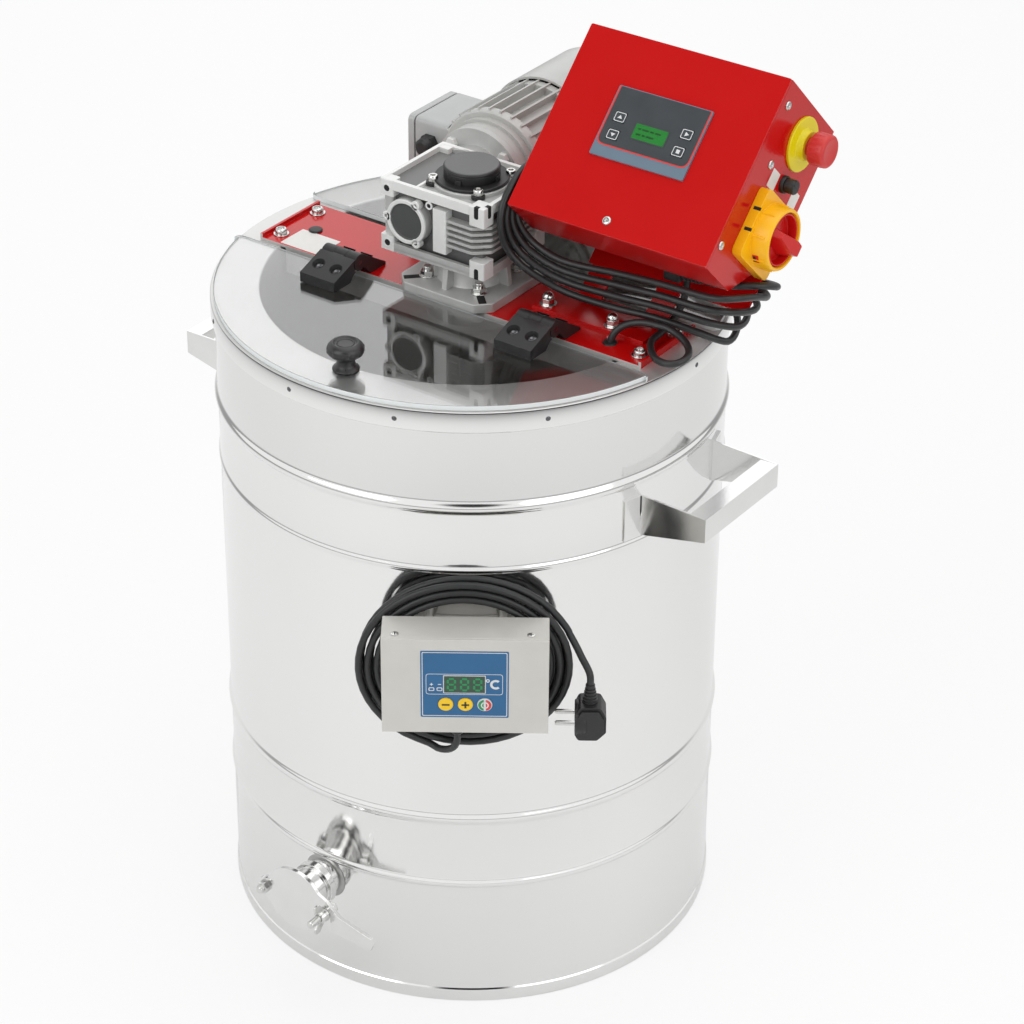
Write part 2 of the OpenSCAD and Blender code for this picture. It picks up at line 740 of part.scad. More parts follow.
module gearbox_flange() {
    corner = 14;
    half = flange_w / 2;
    color("silver") difference() {
        union() {
            translate([0, 0, bar_top]) linear_extrude(flange_t) polygon([[-half, -half + corner],
                [-half + corner, -half], [half - corner, -half], [half, -half + corner],
                [half, half - corner], [half - corner, half], [-half + corner, half],
                [-half, half - corner]]);
            translate([0, 0, bar_top]) cylinder(r = 34, h = flange_t + neck_h);
            translate([0, 0, bar_top + flange_t + neck_h - 5]) cylinder(r = 44, h = 5);
            for (a = [0:90:270]) rotate([0, 0, a]) translate([30, -3, bar_top + flange_t - eps])
                cube([16, 6, neck_h]);
        }
        translate([0, 0, bar_top - 1]) cylinder(r = hub_r + 2, h = flange_t + neck_h + 2);
        for (a = [45:90:315]) rotate([0, 0, a]) translate([flange_bolt_r, 0, bar_top - 1])
            cylinder(r = 4.2, h = flange_t + 2, $fn = 32);
    }
}

module gearbox_screws() {
    ring_bolt_r = 37.5;
    color("dimgray") {
        for (a = [45:90:315]) rotate([0, 0, a]) translate([flange_bolt_r, 0, bar_top]) {
            cylinder(r = 4, h = flange_t + eps, $fn = 32);
            translate([0, 0, flange_t]) cylinder(r = 7, h = 5, $fn = 6);
        }
        for (a = [45:90:315]) rotate([0, 0, a]) translate([ring_bolt_r, 0, gear_z + case_h / 2])
            cylinder(r = 5, h = 6, $fn = 32);
    }
}

module gearbox_caps() {
    cap_z = gear_z + case_h / 2;
    color("dimgray") {
        difference() {
            translate([0, 0, cap_z]) cylinder(r = cap_r, h = cap_h);
            translate([0, 0, cap_z - 1]) cylinder(r = cap_r - 4, h = cap_h - 2);
        }
        at_motor(-case_w / 2 - 3.5) cylinder(r = 19, h = 1.5);
        at_motor(-case_w / 2 - 2.01) cylinder(r = worm_bearing_front - 0.3, h = 4);
    }
}

module bearing(r_out, r_in) {
    ring(r_out, r_in, 0, bearing_w);
}

module bearings() {
    color("lightsteelblue") {
        translate([0, 0, hub_bottom + 2]) bearing(wheel_bearing_r, hub_r + fit);
        translate([0, 0, hub_top - bearing_w - 2]) bearing(wheel_bearing_r, hub_r + fit);
        at_motor(-case_w / 2 + 4) bearing(worm_bearing_front, worm_front_r + fit);
        at_motor(case_w / 2 - 4 - bearing_w) bearing(worm_bearing_rear, worm_input_r + fit);
        at_motor(motor_body - 6) bearing(motor_bearing_r, rotor_shaft_r + fit);
        at_motor(motor_end - 18) bearing(motor_bearing_r, rotor_shaft_r + fit);
    }
}

// The thread is a ridge of four corners swept along a right-handed helix
module worm_thread() {
    pitch = PI * gear_m;
    half_root = 1.3;
    half_tip = 0.8;
    inner = worm_root - 0.6;
    corners = [[inner, -half_root], [worm_tip, -half_tip], [worm_tip, half_tip], [inner, half_root]];
    count = worm_turns * worm_steps;
    points = [for (i = [0:count]) for (c = corners) let (a = 90 + 360 * (i - count / 2) / worm_steps)
        [c[0] * sin(a), pitch * (i - count / 2) / worm_steps + c[1], c[0] * cos(a)]];
    walls = [for (i = [0:count - 1]) for (k = [0:3]) for (half = [0, 1])
        let (k1 = (k + 1) % 4, low = 4 * i, up = low + 4)
        half == 0 ? [low + k, low + k1, up + k1] : [low + k, up + k1, up + k]];
    polyhedron(points = points,
        faces = concat(walls, [[0, 2, 1], [0, 3, 2]], [[4 * count, 4 * count + 1, 4 * count + 2],
            [4 * count, 4 * count + 2, 4 * count + 3]]), convexity = 10);
}

module worm() {
    front = -case_w / 2 + 4;
    thread_half = 24;
    color("slategray") difference() {
        union() {
            at_motor(front) cylinder(r = worm_front_r, h = bearing_w + 4);
            at_motor(front + bearing_w) cylinder(r = worm_root, h = thread_half + eps - front - bearing_w);
            at_motor(thread_half) cylinder(r = worm_input_r, h = case_w / 2 + 8 - thread_half);
            translate([-gear_a, 0, gear_z]) worm_thread();
        }
        at_motor(thread_half + 2) cylinder(r = motor_shaft_d / 2 + fit, h = case_w);
    }
}

module worm_wheel() {
    tooth = 360 / teeth;
    root_r = wheel_r - 0.95 * gear_m;
    half_root = 1.15;
    half_tip = 0.7;
    color("goldenrod") difference() {
        union() {
            translate([0, 0, hub_bottom]) cylinder(r = hub_r, h = hub_top - hub_bottom);
            translate([0, 0, gear_z - wheel_face / 2]) cylinder(r = root_r, h = wheel_face);
            for (i = [0:teeth - 1]) rotate([0, 0, tooth * (i + 0.5)])
                translate([0, 0, gear_z - wheel_face / 2]) linear_extrude(wheel_face)
                    polygon([[root_r - 1, -half_root], [wheel_tip, -half_tip], [wheel_tip, half_tip],
                        [root_r - 1, half_root]]);
        }
        translate([0, 0, hub_bottom - 1]) cylinder(r = journal_d / 2 + fit, h = hub_top - hub_bottom + 2);
    }
}

module motor_frame() {
    fins = 30;
    color("slategray") difference() {
        union() {
            at_motor(motor_face) cylinder(d = motor_flange_d, h = 12);
            at_motor(motor_face + 10) cylinder(r = frame_r, h = motor_end - motor_face - 10);
            at_motor(motor_body + 2) linear_extrude(motor_l - 4) for (i = [0:fins - 1])
                rotate(360 * i / fins) translate([frame_r - 1, -1.1]) square([fin_r - frame_r + 1, 2.2]);
            translate([tbox_gasket, tbox_y + 4, gear_z + tbox_z + 4])
                cube([14, tbox_l - 8, tbox_h - 8]);
        }
        at_motor(motor_body + 10) cylinder(r = frame_in, h = motor_l - 18);
        at_motor(motor_body - 6) cylinder(r = motor_bearing_r + fit / 2, h = bearing_w + 10);
        at_motor(motor_end - 20) cylinder(r = motor_bearing_r + fit / 2, h = bearing_w + 2);
        at_motor(motor_face - 1) cylinder(r = worm_input_r + 2, h = motor_l + 60);
        translate([tbox_gasket - 20, tbox_y - 2, gear_z + tbox_z - 2]) cube([20, tbox_l + 4, tbox_h + 4]);
    }
}

module stator() {
    color("peru") at_motor(motor_body + 15) ring(frame_in - fit, stator_in, 0, motor_l - 28);
}

module rotor() {
    blades = 6;
    color("darkgray") {
        at_motor(28) cylinder(d = motor_shaft_d, h = motor_body - 28);
        at_motor(motor_body - 8) cylinder(r = rotor_shaft_r, h = fan_y + 22 - motor_body + 8);
        at_motor(motor_body + 18) cylinder(r = rotor_r, h = motor_l - 38);
        at_motor(fan_y) cylinder(r = 14, h = 20);
        at_motor(fan_y) cylinder(r = fan_disc_r, h = 3);
        at_motor(fan_y) for (i = [0:blades - 1]) rotate([0, 0, 360 * i / blades])
            translate([10, -1.5, 0]) cube([40, 3, 20]);
    }
}

module fan_cowl() {
    slots = 20;
    wall = cowl_out - cowl_in;
    color("slategray") at_motor(cowl_y) difference() {
        cylinder(r = cowl_out, h = cowl_l);
        translate([0, 0, -1]) cylinder(r = cowl_in, h = cowl_l + 1 - wall);
        for (i = [0:slots - 1]) rotate([0, 0, 360 * i / slots]) translate([16, -1.5, cowl_l - wall - 1])
            cube([36, 3, wall + 2]);
    }
}

module terminal_box() {
    lid = 7;
    color("slategray") {
        translate([tbox_gasket - tbox_out, tbox_y, gear_z + tbox_z]) cube([tbox_out, tbox_l, tbox_h]);
        translate([tbox_gasket - tbox_out - lid - seat, tbox_y, gear_z + tbox_z]) cube([lid, tbox_l, tbox_h]);
    }
}

module agitator() {
    reach = agitator_d / 2;
    top_z = agitator_z + agitator_h;
    color("gainsboro") {
        translate([0, 0, tank_floor + 2.5]) cylinder(r = foot_journal_r, h = agitator_z - tank_floor);
        translate([0, 0, tank_floor + foot_bush_h + 0.5])
            cylinder(d = shaft_d, h = hub_bottom - tank_floor - foot_bush_h - 0.8);
        translate([0, 0, hub_bottom - 1]) cylinder(d = journal_d, h = hub_top - hub_bottom - 2);
        for (z = [agitator_z, top_z - paddle_w]) translate([-reach, -paddle_t / 2, z])
            cube([2 * reach, paddle_t, paddle_w]);
        for (x = [-reach, reach - paddle_w]) translate([x, -paddle_t / 2, agitator_z])
            cube([paddle_w, paddle_t, agitator_h]);
        for (side = [0, 180]) rotate([0, 0, side]) translate([0, 0, agitator_z + agitator_h / 2])
            rotate([35, 0, 0]) translate([shaft_d / 2 - 4, -paddle_t / 2, -paddle_w / 2])
                cube([reach * 0.6, paddle_t, paddle_w]);
    }
}

// Control box, drawn in the frame of its sloping front: across, up the slope and out of it

module at_desk() {
    translate([box_x, desk_y, desk_z]) rotate([tilt, 0, 0]) children();
}

module desk_prism(x0, w, points) {
    translate([x0, 0, 0]) rotate([90, 0, 90]) linear_extrude(w) polygon(points);
}

module on_side(at, x = 0) {
    translate([x, at[0], at[1]]) rotate([0, 90, 0]) children();
}

module box_housing() {
    w = box_wall;
    k = tan(22.5) * w;
    color("firebrick") at_desk() difference() {
        desk_prism(-box_w, box_w, [[0, -cover_t], [box_front, -cover_t], [box_front, -box_depth],
            [box_foot, -box_depth], [0, -box_nose]]);
        desk_prism(-box_w + w, box_w - 2 * w, [[w, 1], [box_front - w, 1], [box_front - w, -box_depth + w],
            [box_foot + k, -box_depth + w], [w, -box_nose + k]]);
        on_side(estop_at, -w - 1) cylinder(r = 11, h = w + 2);
        on_side(switch_at, -w - 1) cylinder(r = 8, h = w + 2);
        on_side(fuse_at, -w - 1) cylinder(r = 6, h = w + 2);
        for (p = side_screws) on_side(p, -w - 1) cylinder(r = 2.1, h = w + 2, $fn = 24);
    }
}

module box_cover() {
    color("firebrick") at_desk() difference() {
        translate([-box_w, 0, -cover_t]) cube([box_w, box_front, cover_t]);
        for (p = front_screws) translate([p[0], p[1], -cover_t - 1])
            cylinder(r = 2.1, h = cover_t + 2, $fn = 24);
    }
    color("lightgray") at_desk() {
        for (p = front_screws) translate([p[0], p[1], -cover_t]) {
            cylinder(r = 2, h = cover_t + 2 * seat, $fn = 24);
            translate([0, 0, cover_t + seat]) cylinder(r = 4, h = 1.8, $fn = 32);
        }
        for (p = side_screws) on_side(p, -box_wall) {
            cylinder(r = 2, h = box_wall + 2 * seat, $fn = 24);
            translate([0, 0, box_wall + seat]) cylinder(r = 4, h = 1.8, $fn = 32);
        }
    }
}

module box_bracket() {
    color("firebrick") {
        at_desk() translate([-box_w, box_foot, -box_depth - back_t])
            cube([box_w - back_inset, box_front - box_foot - bracket_top_gap, back_t]);
        at_desk() translate([flange_x - box_x, 0, -box_depth - back_t])
            cube([box_x - flange_x - back_inset, box_foot + eps, back_t]);
        for (x = leg_x) at_desk() translate([x - box_x, -leg_drop, -box_depth - back_t])
            cube([leg_w, leg_drop + eps, back_t]);
        difference() {
            translate([foot_x0, foot_y0, bar_top])
                cube([leg_x[1] + leg_w - foot_x0, foot_y0 * -1 + leg_foot_y(), back_t]);
            for (p = dome_nuts) translate([p[0], p[1], bar_top - 1]) cylinder(r = 3.1, h = 10, $fn = 24);
        }
    }
}

// Where the back of the legs meets the crossbar
function leg_foot_y() = desk_y - (desk_z - bar_top) + (box_depth + back_t) / cos(tilt) + back_t * 0.6;

module keypad_panel() {
    color("darkslategray") at_desk() difference() {
        translate([keypad_x - keypad_w / 2, keypad_u - keypad_h / 2, 0]) cube([keypad_w, keypad_h, keypad_t]);
        for (p = key_places) translate([p[0] - key_size[0] / 2 - slip, p[1] - key_size[1] / 2 - slip, -1])
            cube([key_size[0] + 2 * slip, key_size[1] + 2 * slip, 5]);
    }
    color("yellowgreen") at_desk() translate([-127, 95, keypad_t]) cube([35, 15, 0.6]);
}

module key(i) {
    p = key_places[i];
    color("dimgray") at_desk() translate([p[0] - key_size[0] / 2, p[1] - key_size[1] / 2, key_travel + 0.1])
        cube([key_size[0], key_size[1], keypad_t + 0.1]);
}

module key_1() key(0);
module key_2() key(1);
module key_3() key(2);
module key_4() key(3);

module estop_base() {
    color("gold") at_desk() on_side(estop_at) difference() {
        union() {
            cylinder(d = estop_ring_d, h = estop_ring_t);
            cylinder(r = 14, h = estop_collar_h);
        }
        translate([0, 0, -1]) cylinder(r = 9 + fit, h = 30);
    }
}

module estop_button() {
    color("red") at_desk() on_side(estop_at) {
        cap_z = estop_collar_h + estop_travel + 1;
        translate([0, 0, 1]) cylinder(r = 9, h = cap_z);
        translate([0, 0, cap_z]) cylinder(d = estop_d, h = 12);
        translate([0, 0, cap_z + 12 - eps]) cylinder(r1 = estop_d / 2, r2 = estop_d / 2 - 4, h = 4);
    }
}

module switch_plate() {
    color("gold") at_desk() on_side(switch_at) difference() {
        union() {
            translate([-switch_w / 2, -switch_w / 2, 0]) cube([switch_w, switch_w, 10]);
            translate([0, 0, 10 - eps]) cylinder(d = switch_knob_d + 11, h = 18);
        }
        translate([0, 0, 10]) cylinder(d = switch_knob_d + 2, h = 20);
        translate([0, 0, -1]) cylinder(r = 6 + fit, h = 20);
    }
}

module switch_knob() {
    color("red") at_desk() on_side(switch_at) {
        translate([0, 0, 0.5]) cylinder(r = 6, h = 12);
        translate([0, 0, 10.3]) cylinder(d = switch_knob_d, h = 7);
        translate([-switch_knob_d / 2 + 2, -6, 17]) cube([switch_knob_d - 4, 12, 19]);
    }
}

module fuse_holder() {
    color("black") at_desk() on_side(fuse_at) difference() {
        union() {
            cylinder(r = 8.5, h = 4);
            translate([0, 0, -20]) cylinder(r = 5.8, h = 21);
        }
        translate([0, 0, -16]) cylinder(r = 4 + fit, h = 40);
    }
}

module fuse_cap() {
    color("black") at_desk() on_side(fuse_at) {
        translate([0, 0, -15]) cylinder(r = 4, h = 22);
        translate([0, 0, 4.3]) cylinder(r = 7, h = 10);
    }
}

module cable_glands() {
    box_base = desk_z - box_nose * sin(tilt) - seat;
    color("black") {
        translate([mains_gland_x - 18, mains_gland_y - 8, box_base - 16]) cube([18, 16, 16]);
        translate([mains_gland_x - eps, mains_gland_y, mains_path[0][2]]) rotate([0, 90, 0])
            cylinder(r1 = 6.5, r2 = 4.5, h = mains_boot_l + eps, $fn = 32);
        translate([link_gland[0], link_gland[1], link_path[0][2]])
            cylinder(r = 7, h = box_base - link_path[0][2], $fn = 32);
        translate([tbox_gasket - tbox_out / 2, tbox_y - 14, gear_z + 3]) rotate([-90, 0, 0])
            cylinder(r = 11, h = 14);
    }
    color("black") rotate([0, 0, heater_az]) translate([heater_gland_x, -heater_gland_d, heater_z - 20])
        cylinder(r1 = 5, r2 = 8, h = 20, $fn = 32);
}

// Heating controller, drawn facing the front and turned round the drum

module at_heater() {
    rotate([0, 0, heater_az]) children();
}

module heater_box() {
    wall = 2.5;
    body_d = heater_depth - heater_cover_t;
    peg_z = coil_z + sqrt(pow(coil_r - coil_step * 2.95 - cord_d / 2 - peg_r - slip, 2) - pow(peg_x, 2));
    color("silver") at_heater() {
        difference() {
            translate([-heater_w / 2, -heater_back - body_d, heater_z]) cube([heater_w, body_d, heater_h]);
            translate([-heater_w / 2 + wall, -heater_back - body_d - 1, heater_z + wall])
                cube([heater_w - 2 * wall, body_d + 1 - wall, heater_h - 2 * wall]);
        }
        for (z = [heater_z + 14, heater_z + heater_h - 24]) difference() {
            translate([-30, -heater_back - eps, z]) cube([60, heater_gap + 8, 10]);
            translate([0, 0, z - 1]) cylinder(r = jacket_r + 0.1, h = 12);
        }
        for (x = [-peg_x, peg_x]) difference() {
            union() {
                translate([x, -jacket_r - 23, peg_z]) rotate([-90, 0, 0]) cylinder(r = peg_r, h = 33);
                translate([x, -jacket_r - 23, peg_z]) rotate([-90, 0, 0]) cylinder(r = peg_r + 2, h = 2);
            }
            translate([0, 0, peg_z - 10]) cylinder(r = jacket_r + 0.1, h = 20);
        }
    }
}

module heater_cover() {
    left = -heater_w / 2;
    color("whitesmoke") at_heater() difference() {
        translate([left, -heater_front, heater_z]) cube([heater_w, heater_cover_t, heater_h]);
        for (x = heater_keys)
            translate([left + x, -heater_front - 1, heater_z + heater_h - heater_key_drop])
                rotate([-90, 0, 0]) cylinder(d = heater_key_d + 2 * slip, h = heater_cover_t + 2);
    }
}

module heater_key(i) {
    color(i < 2 ? "gold" : "limegreen") at_heater()
        translate([-heater_w / 2 + heater_keys[i], -heater_front - 1.5, heater_z + heater_h - heater_key_drop])
            rotate([-90, 0, 0]) cylinder(d = heater_key_d, h = heater_cover_t + 1);
}

module heater_key_1() heater_key(0);
module heater_key_2() heater_key(1);
module heater_key_3() heater_key(2);

// Leads and plugs

module plug_body(boot_l, body_l) {
    pin_pitch = 19;
    cylinder(r1 = 5, r2 = 8, h = boot_l, $fn = 48);
    translate([0, 0, boot_l - eps]) cylinder(r = 18, h = body_l);
    for (side = [-1, 1]) translate([0, side * pin_pitch / 2, boot_l + body_l - eps])
        cylinder(r = 2.4, h = 19, $fn = 32);
}

module mains_lead() color("dimgray") tube(mains_path, cord_d, 6, [0, 0, 1]);

module mains_plug() {
    last = mains_path[len(mains_path) - 1];
    color("black") translate(last) rotate([0, -90, 0]) plug_body(24, 36);
}

module heater_lead() color("dimgray") at_heater() tube(heater_path, cord_d, 6, [0, 1, 0]);

module heater_plug() {
    last = heater_path[len(heater_path) - 1];
    color("black") at_heater() translate(last) rotate([180, 0, 0]) {
        cylinder(r1 = 5, r2 = 8, h = 22, $fn = 48);
        translate([-14, 0, 38]) rotate([0, 90, 0]) cylinder(r = 18, h = 28);
        for (side = [-1, 1]) translate([-33, 0, 38 + side * 9.5]) rotate([0, 90, 0])
            cylinder(r = 2.4, h = 19 + eps, $fn = 32);
    }
}

module link_lead() color("dimgray") tube(link_path, link_d, 8, [1, 0, 0]);

outer_shell();
base_plate();
inner_tank();
insulation();
heating_mat();
temperature_probe();
left_handle();
right_handle();
foot_bush();
gate_body();
gate_seal();
gate_bolts();
gate_plate();
wing_nut();
crossbar();
crossbar_fasteners();
front_lid();
rear_lid();
lid_knob();
hinge_bases();
hinge_leaves();
hinge_pins();
gearbox_housing();
gearbox_flange();
gearbox_screws();
gearbox_caps();
bearings();
worm();
worm_wheel();
motor_frame();
stator();
rotor();
fan_cowl();
terminal_box();
agitator();
box_housing();
box_cover();
box_bracket();
keypad_panel();
key_1();
key_2();
key_3();
key_4();
estop_base();
estop_button();
switch_plate();
switch_knob();
fuse_holder();
fuse_cap();
cable_glands();
heater_box();
heater_cover();
heater_key_1();
heater_key_2();
heater_key_3();
heater_lead();
heater_plug();
mains_lead();
mains_plug();
link_lead();
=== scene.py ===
"""Looks of a heated honey creamer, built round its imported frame. Local frames are in millimetres."""
import json
from math import acos, asin, cos, degrees, hypot, pi, radians, sin, tan

import bmesh
import bpy
from mathutils import Matrix, Vector

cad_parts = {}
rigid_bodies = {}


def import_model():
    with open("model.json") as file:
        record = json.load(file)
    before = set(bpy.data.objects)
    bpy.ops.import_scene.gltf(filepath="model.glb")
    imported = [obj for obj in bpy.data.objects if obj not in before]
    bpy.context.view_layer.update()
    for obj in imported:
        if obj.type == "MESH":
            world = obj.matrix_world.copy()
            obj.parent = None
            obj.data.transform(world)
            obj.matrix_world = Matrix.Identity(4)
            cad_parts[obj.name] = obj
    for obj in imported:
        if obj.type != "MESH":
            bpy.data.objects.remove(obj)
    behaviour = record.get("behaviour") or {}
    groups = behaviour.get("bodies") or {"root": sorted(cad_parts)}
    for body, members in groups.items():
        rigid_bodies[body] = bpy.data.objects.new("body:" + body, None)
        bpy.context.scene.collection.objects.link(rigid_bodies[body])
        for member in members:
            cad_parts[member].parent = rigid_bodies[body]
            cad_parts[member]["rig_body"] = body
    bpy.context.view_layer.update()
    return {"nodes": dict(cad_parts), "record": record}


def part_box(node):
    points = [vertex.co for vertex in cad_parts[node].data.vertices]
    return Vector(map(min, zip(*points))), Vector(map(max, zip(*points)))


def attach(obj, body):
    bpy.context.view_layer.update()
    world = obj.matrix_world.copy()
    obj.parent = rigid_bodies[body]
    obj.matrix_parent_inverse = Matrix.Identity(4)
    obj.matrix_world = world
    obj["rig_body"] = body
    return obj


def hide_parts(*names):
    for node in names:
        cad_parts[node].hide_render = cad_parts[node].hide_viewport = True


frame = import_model()

MM = 0.001
ACROSS = Matrix.Rotation(radians(90), 4, "Y")


def place(x, y, z, turn=0, axis="X"):
    """A frame in millimetres at a point of the row frame, turned about one axis."""
    turned = Matrix.Rotation(radians(turn), 4, axis)
    return Matrix.Translation((x * MM, y * MM, z * MM)) @ turned @ Matrix.Scale(MM, 4)


def at(parent, x, y, z, turn=0, axis="Z"):
    """A frame inside another one."""
    return parent @ Matrix.Translation((x, y, z)) @ Matrix.Rotation(radians(turn), 4, axis)


def spun(parent, turn, axis="Z"):
    """A frame turned in its place."""
    return at(parent, 0, 0, 0, turn, axis)


def add_object(name, data):
    made = bpy.data.objects.new(name, data)
    bpy.context.scene.collection.objects.link(made)
    return made


# Sizes in millimetres that the frame's pieces share

DRUM_R = 250
DRUM_H = 685
BAR_TOP = 688
LID_Z = 685.3
LID_T = 5
GATE_Z = 122
GEAR_Z = 761
FRAME_R = 55.5
HALF_CASE = 37.5
BOLT_R = 43.5
LID_BOLT_R = 37.5
BOX_BASE = 759.93
CORD_D = 7
HEATER_TURN = 35
HEATER_FRONT = 314
HEATER_W = 155.5
HEATER_H = 103.5
HEATER_Z = 376

ROW = Matrix.Scale(MM, 4)
DESK = place(283, -31, 801, 45)
HEATER = place(0, 0, 0, HEATER_TURN, "Z")
HEATER_FACE = at(HEATER, -HEATER_W / 2, -HEATER_FRONT, HEATER_Z, 90, "X")


def front(x, y, z):
    """A frame whose third axis faces the front of the drum."""
    return place(x, y, z, 90)


def motor(y):
    """A frame along the motor's axis, from the gearbox to the fan."""
    return place(-40, y, GEAR_Z, -90)


def side(u, n):
    """A frame on the control box's right side."""
    return at(DESK, 0, u, n) @ ACROSS


def on_bar(turn=0):
    """A frame on the crossbar's top, turned about the drum's axis."""
    return place(0, 0, BAR_TOP, turn, "Z")


def on_case(turn=0):
    """A frame on the gearbox's top, turned about the drum's axis."""
    return place(0, 0, GEAR_Z + HALF_CASE, turn, "Z")


# Camera at the photograph's viewpoint

CAMERA_AZIMUTH = radians(36.2)
CAMERA_PITCH = radians(31.3)
CAMERA_AWAY = 2.808
CAMERA_HEIGHT = 2.134

lens = bpy.data.cameras.new("photo_camera")
lens.lens = 114.4
lens.sensor_width = 36
lens.shift_x = 0.039
lens.clip_start = 0.05
lens.clip_end = 60
camera = add_object("photo_camera", lens)
camera.location = (
    CAMERA_AWAY * sin(CAMERA_AZIMUTH),
    -CAMERA_AWAY * cos(CAMERA_AZIMUTH),
    CAMERA_HEIGHT,
)
camera.rotation_euler = (pi / 2 - CAMERA_PITCH, 0, CAMERA_AZIMUTH)
bpy.context.scene.camera = camera
bpy.context.scene.view_settings.view_transform = "Standard"


# Materials


def srgb(red, green, blue):
    """A colour given as it shows, from 0 to 255, in linear light."""
    shares = (red / 255, green / 255, blue / 255)
    return tuple(((c + 0.055) / 1.055) ** 2.4 if c > 0.04 else c / 12.92 for c in shares)


def scaled(colour, share):
    return (*(min(1, c * share) for c in colour), 1)


def add_node(tree, kind, inputs, operation=None):
    """A shader node; each of its inputs takes a value, a node or a node's output."""
    made = tree.nodes.new("ShaderNode" + kind)
    if operation:
        made.operation = operation
    if kind == "Mix":
        made.data_type = "RGBA"
    for key, value in inputs.items():
        if isinstance(value, bpy.types.Node):
            value = value.outputs[0]
        if isinstance(value, bpy.types.NodeSocket):
            tree.links.new(value, made.inputs[key])
        else:
            made.inputs[key].default_value = value
    return made


def smooth_range(tree, inputs):
    made = add_node(tree, "MapRange", inputs)
    made.interpolation_type = "SMOOTHSTEP"
    return made


def finish(name, colour, rough, mottle=0.03, size=20, grain=0.03, grain_size=0.8, metal=0,
           stretch=(1, 1, 1), coat=0, wave=0, wave_size=130):
    """A procedural material: soft variation of colour and gloss, fine grain and broad waviness, in mm."""
    made = bpy.data.materials.new(name)
    made.use_nodes = True
    tree = made.node_tree
    shader = tree.nodes["Principled BSDF"].inputs
    shader["Metallic"].default_value = metal
    shader["Coat Weight"].default_value = coat
    shader["Coat Roughness"].default_value = 0.06
    spot = add_node(tree, "TexCoord", {}).outputs["Object"]
    stretched = add_node(tree, "Mapping", {"Vector": spot, "Scale": stretch})

    def noise(step, detail):
        return add_node(tree, "TexNoise", {"Scale": 1 / (step * MM), "Detail": detail, "Vector": stretched})

    broad = noise(size, 4)
    shade = {0: broad, 6: scaled(colour, 1 - 2 * mottle), 7: scaled(colour, 1 + 2 * mottle)}
    tree.links.new(add_node(tree, "Mix", shade).outputs[2], shader["Base Color"])
    gloss = {"Value": broad, "To Min": rough * 0.75, "To Max": min(1, rough * 1.25)}
    tree.links.new(add_node(tree, "MapRange", gloss).outputs[0], shader["Roughness"])
    normal = None
    for depth, step, detail in ((wave, wave_size, 1), (grain, grain_size, 2)):
        if depth:
            bump = {"Strength": 1, "Distance": depth * MM, "Height": noise(step, detail)}
            if normal:
                bump["Normal"] = normal
            normal = add_node(tree, "Bump", bump)
    if normal:
        tree.links.new(normal.outputs[0], shader["Normal"])
    return made


MIRROR = finish("mirror_steel", srgb(233, 233, 232), 0.09, 0.012, 200, 0.01, 0.6, metal=1,
                stretch=(1, 1, 0.35), wave=0.7)
POLISHED = finish("polished_steel", srgb(226, 226, 225), 0.14, 0.03, 30, 0.02, 0.6, metal=1)
BRUSHED = finish("brushed_steel", srgb(170, 170, 168), 0.32, 0.05, 30, 0.03, 0.5, metal=1, stretch=(1, 1, 14))
RIM = finish("satin_rim", srgb(214, 214, 212), 0.34, 0.03, 50, 0.03, 0.7, metal=0.6, stretch=(1, 1, 6))
LINER = finish("tank_liner", srgb(206, 206, 203), 0.36, 0.04, 50, 0.03, 0.6, metal=0.6, stretch=(1, 1, 12))
# Dark steel for small steel parts; on the tank's rim lip the same colour is a painted shadow.
DARK_STEEL_AND_LIP_SHADE = finish("dark_steel", srgb(105, 105, 107), 0.3, 0.08, 10, 0.03, 0.6, metal=1)
ZINC = finish("zinc_plate", srgb(214, 214, 212), 0.17, 0.05, 6, 0.02, metal=1)
RED = finish("red_coat", srgb(194, 14, 14), 0.14, 0.02, 60, 0.02, 1.1)
BLACK = finish("black_plastic", srgb(34, 34, 35), 0.42, 0.12, 20, 0.08, 0.7)
CAST = finish("cast_aluminium", srgb(192, 193, 191), 0.45, 0.07, 12, 0.16, 1.2, metal=0.35)
# A darker copy of the cast aluminium: painted shade on the gearbox's core behind its frame plates.
CAST_PAINTED_SHADE = finish("cast_painted_shade", srgb(104, 105, 104), 0.5, 0.08, 12, 0.16, 1.2, metal=0.4)
MACHINED = finish("machined_aluminium", srgb(232, 233, 231), 0.4, metal=0.2)
CAP_GREY = finish("cap_plastic", srgb(98, 99, 99), 0.5, 0.06, 10, 0.06)
CAP_DARK = finish("worm_cap", srgb(74, 75, 75), 0.5, 0.06, 10, 0.06)
TRAY = finish("sunk_tray", srgb(118, 119, 118), 0.45, 0.04, 20, 0.05, 1, metal=0.2)
FOLD_GREY = finish("bare_fold", srgb(196, 194, 192), 0.5, 0.04, 20, 0.03, 0.9)
# A darker copy of the motor enamel: painted shade between the motor's fins.
MOTOR_PAINTED_SHADE = finish("motor_painted_shade", srgb(128, 128, 124), 0.5, 0.05, 20, 0.12, 1.5, metal=0.1)
MOTOR_GREY = finish("motor_enamel", srgb(188, 189, 186), 0.36, 0.05, 20, 0.12, 1.5, metal=0.15)
BOX_GREY = finish("terminal_enamel", srgb(180, 182, 181), 0.4, 0.05, 20, 0.1, 1.4, metal=0.1)
COPPER = finish("copper_core", srgb(160, 96, 60), 0.4, 0.1, 10, 0.1, 1, metal=0.8)
BRONZE = finish("bronze", srgb(176, 140, 84), 0.32, 0.06, 10, 0.03, 0.6, metal=1)
WOOL = finish("mineral_wool", srgb(214, 200, 150), 0.9, 0.12, 10, 0.6, 2)
SILICONE = finish("silicone_mat", srgb(205, 120, 60), 0.6, 0.05, 20, 0.1, 1)
KNOB_BLACK = finish("knob_plastic", srgb(44, 44, 45), 0.3, 0.08, 10)
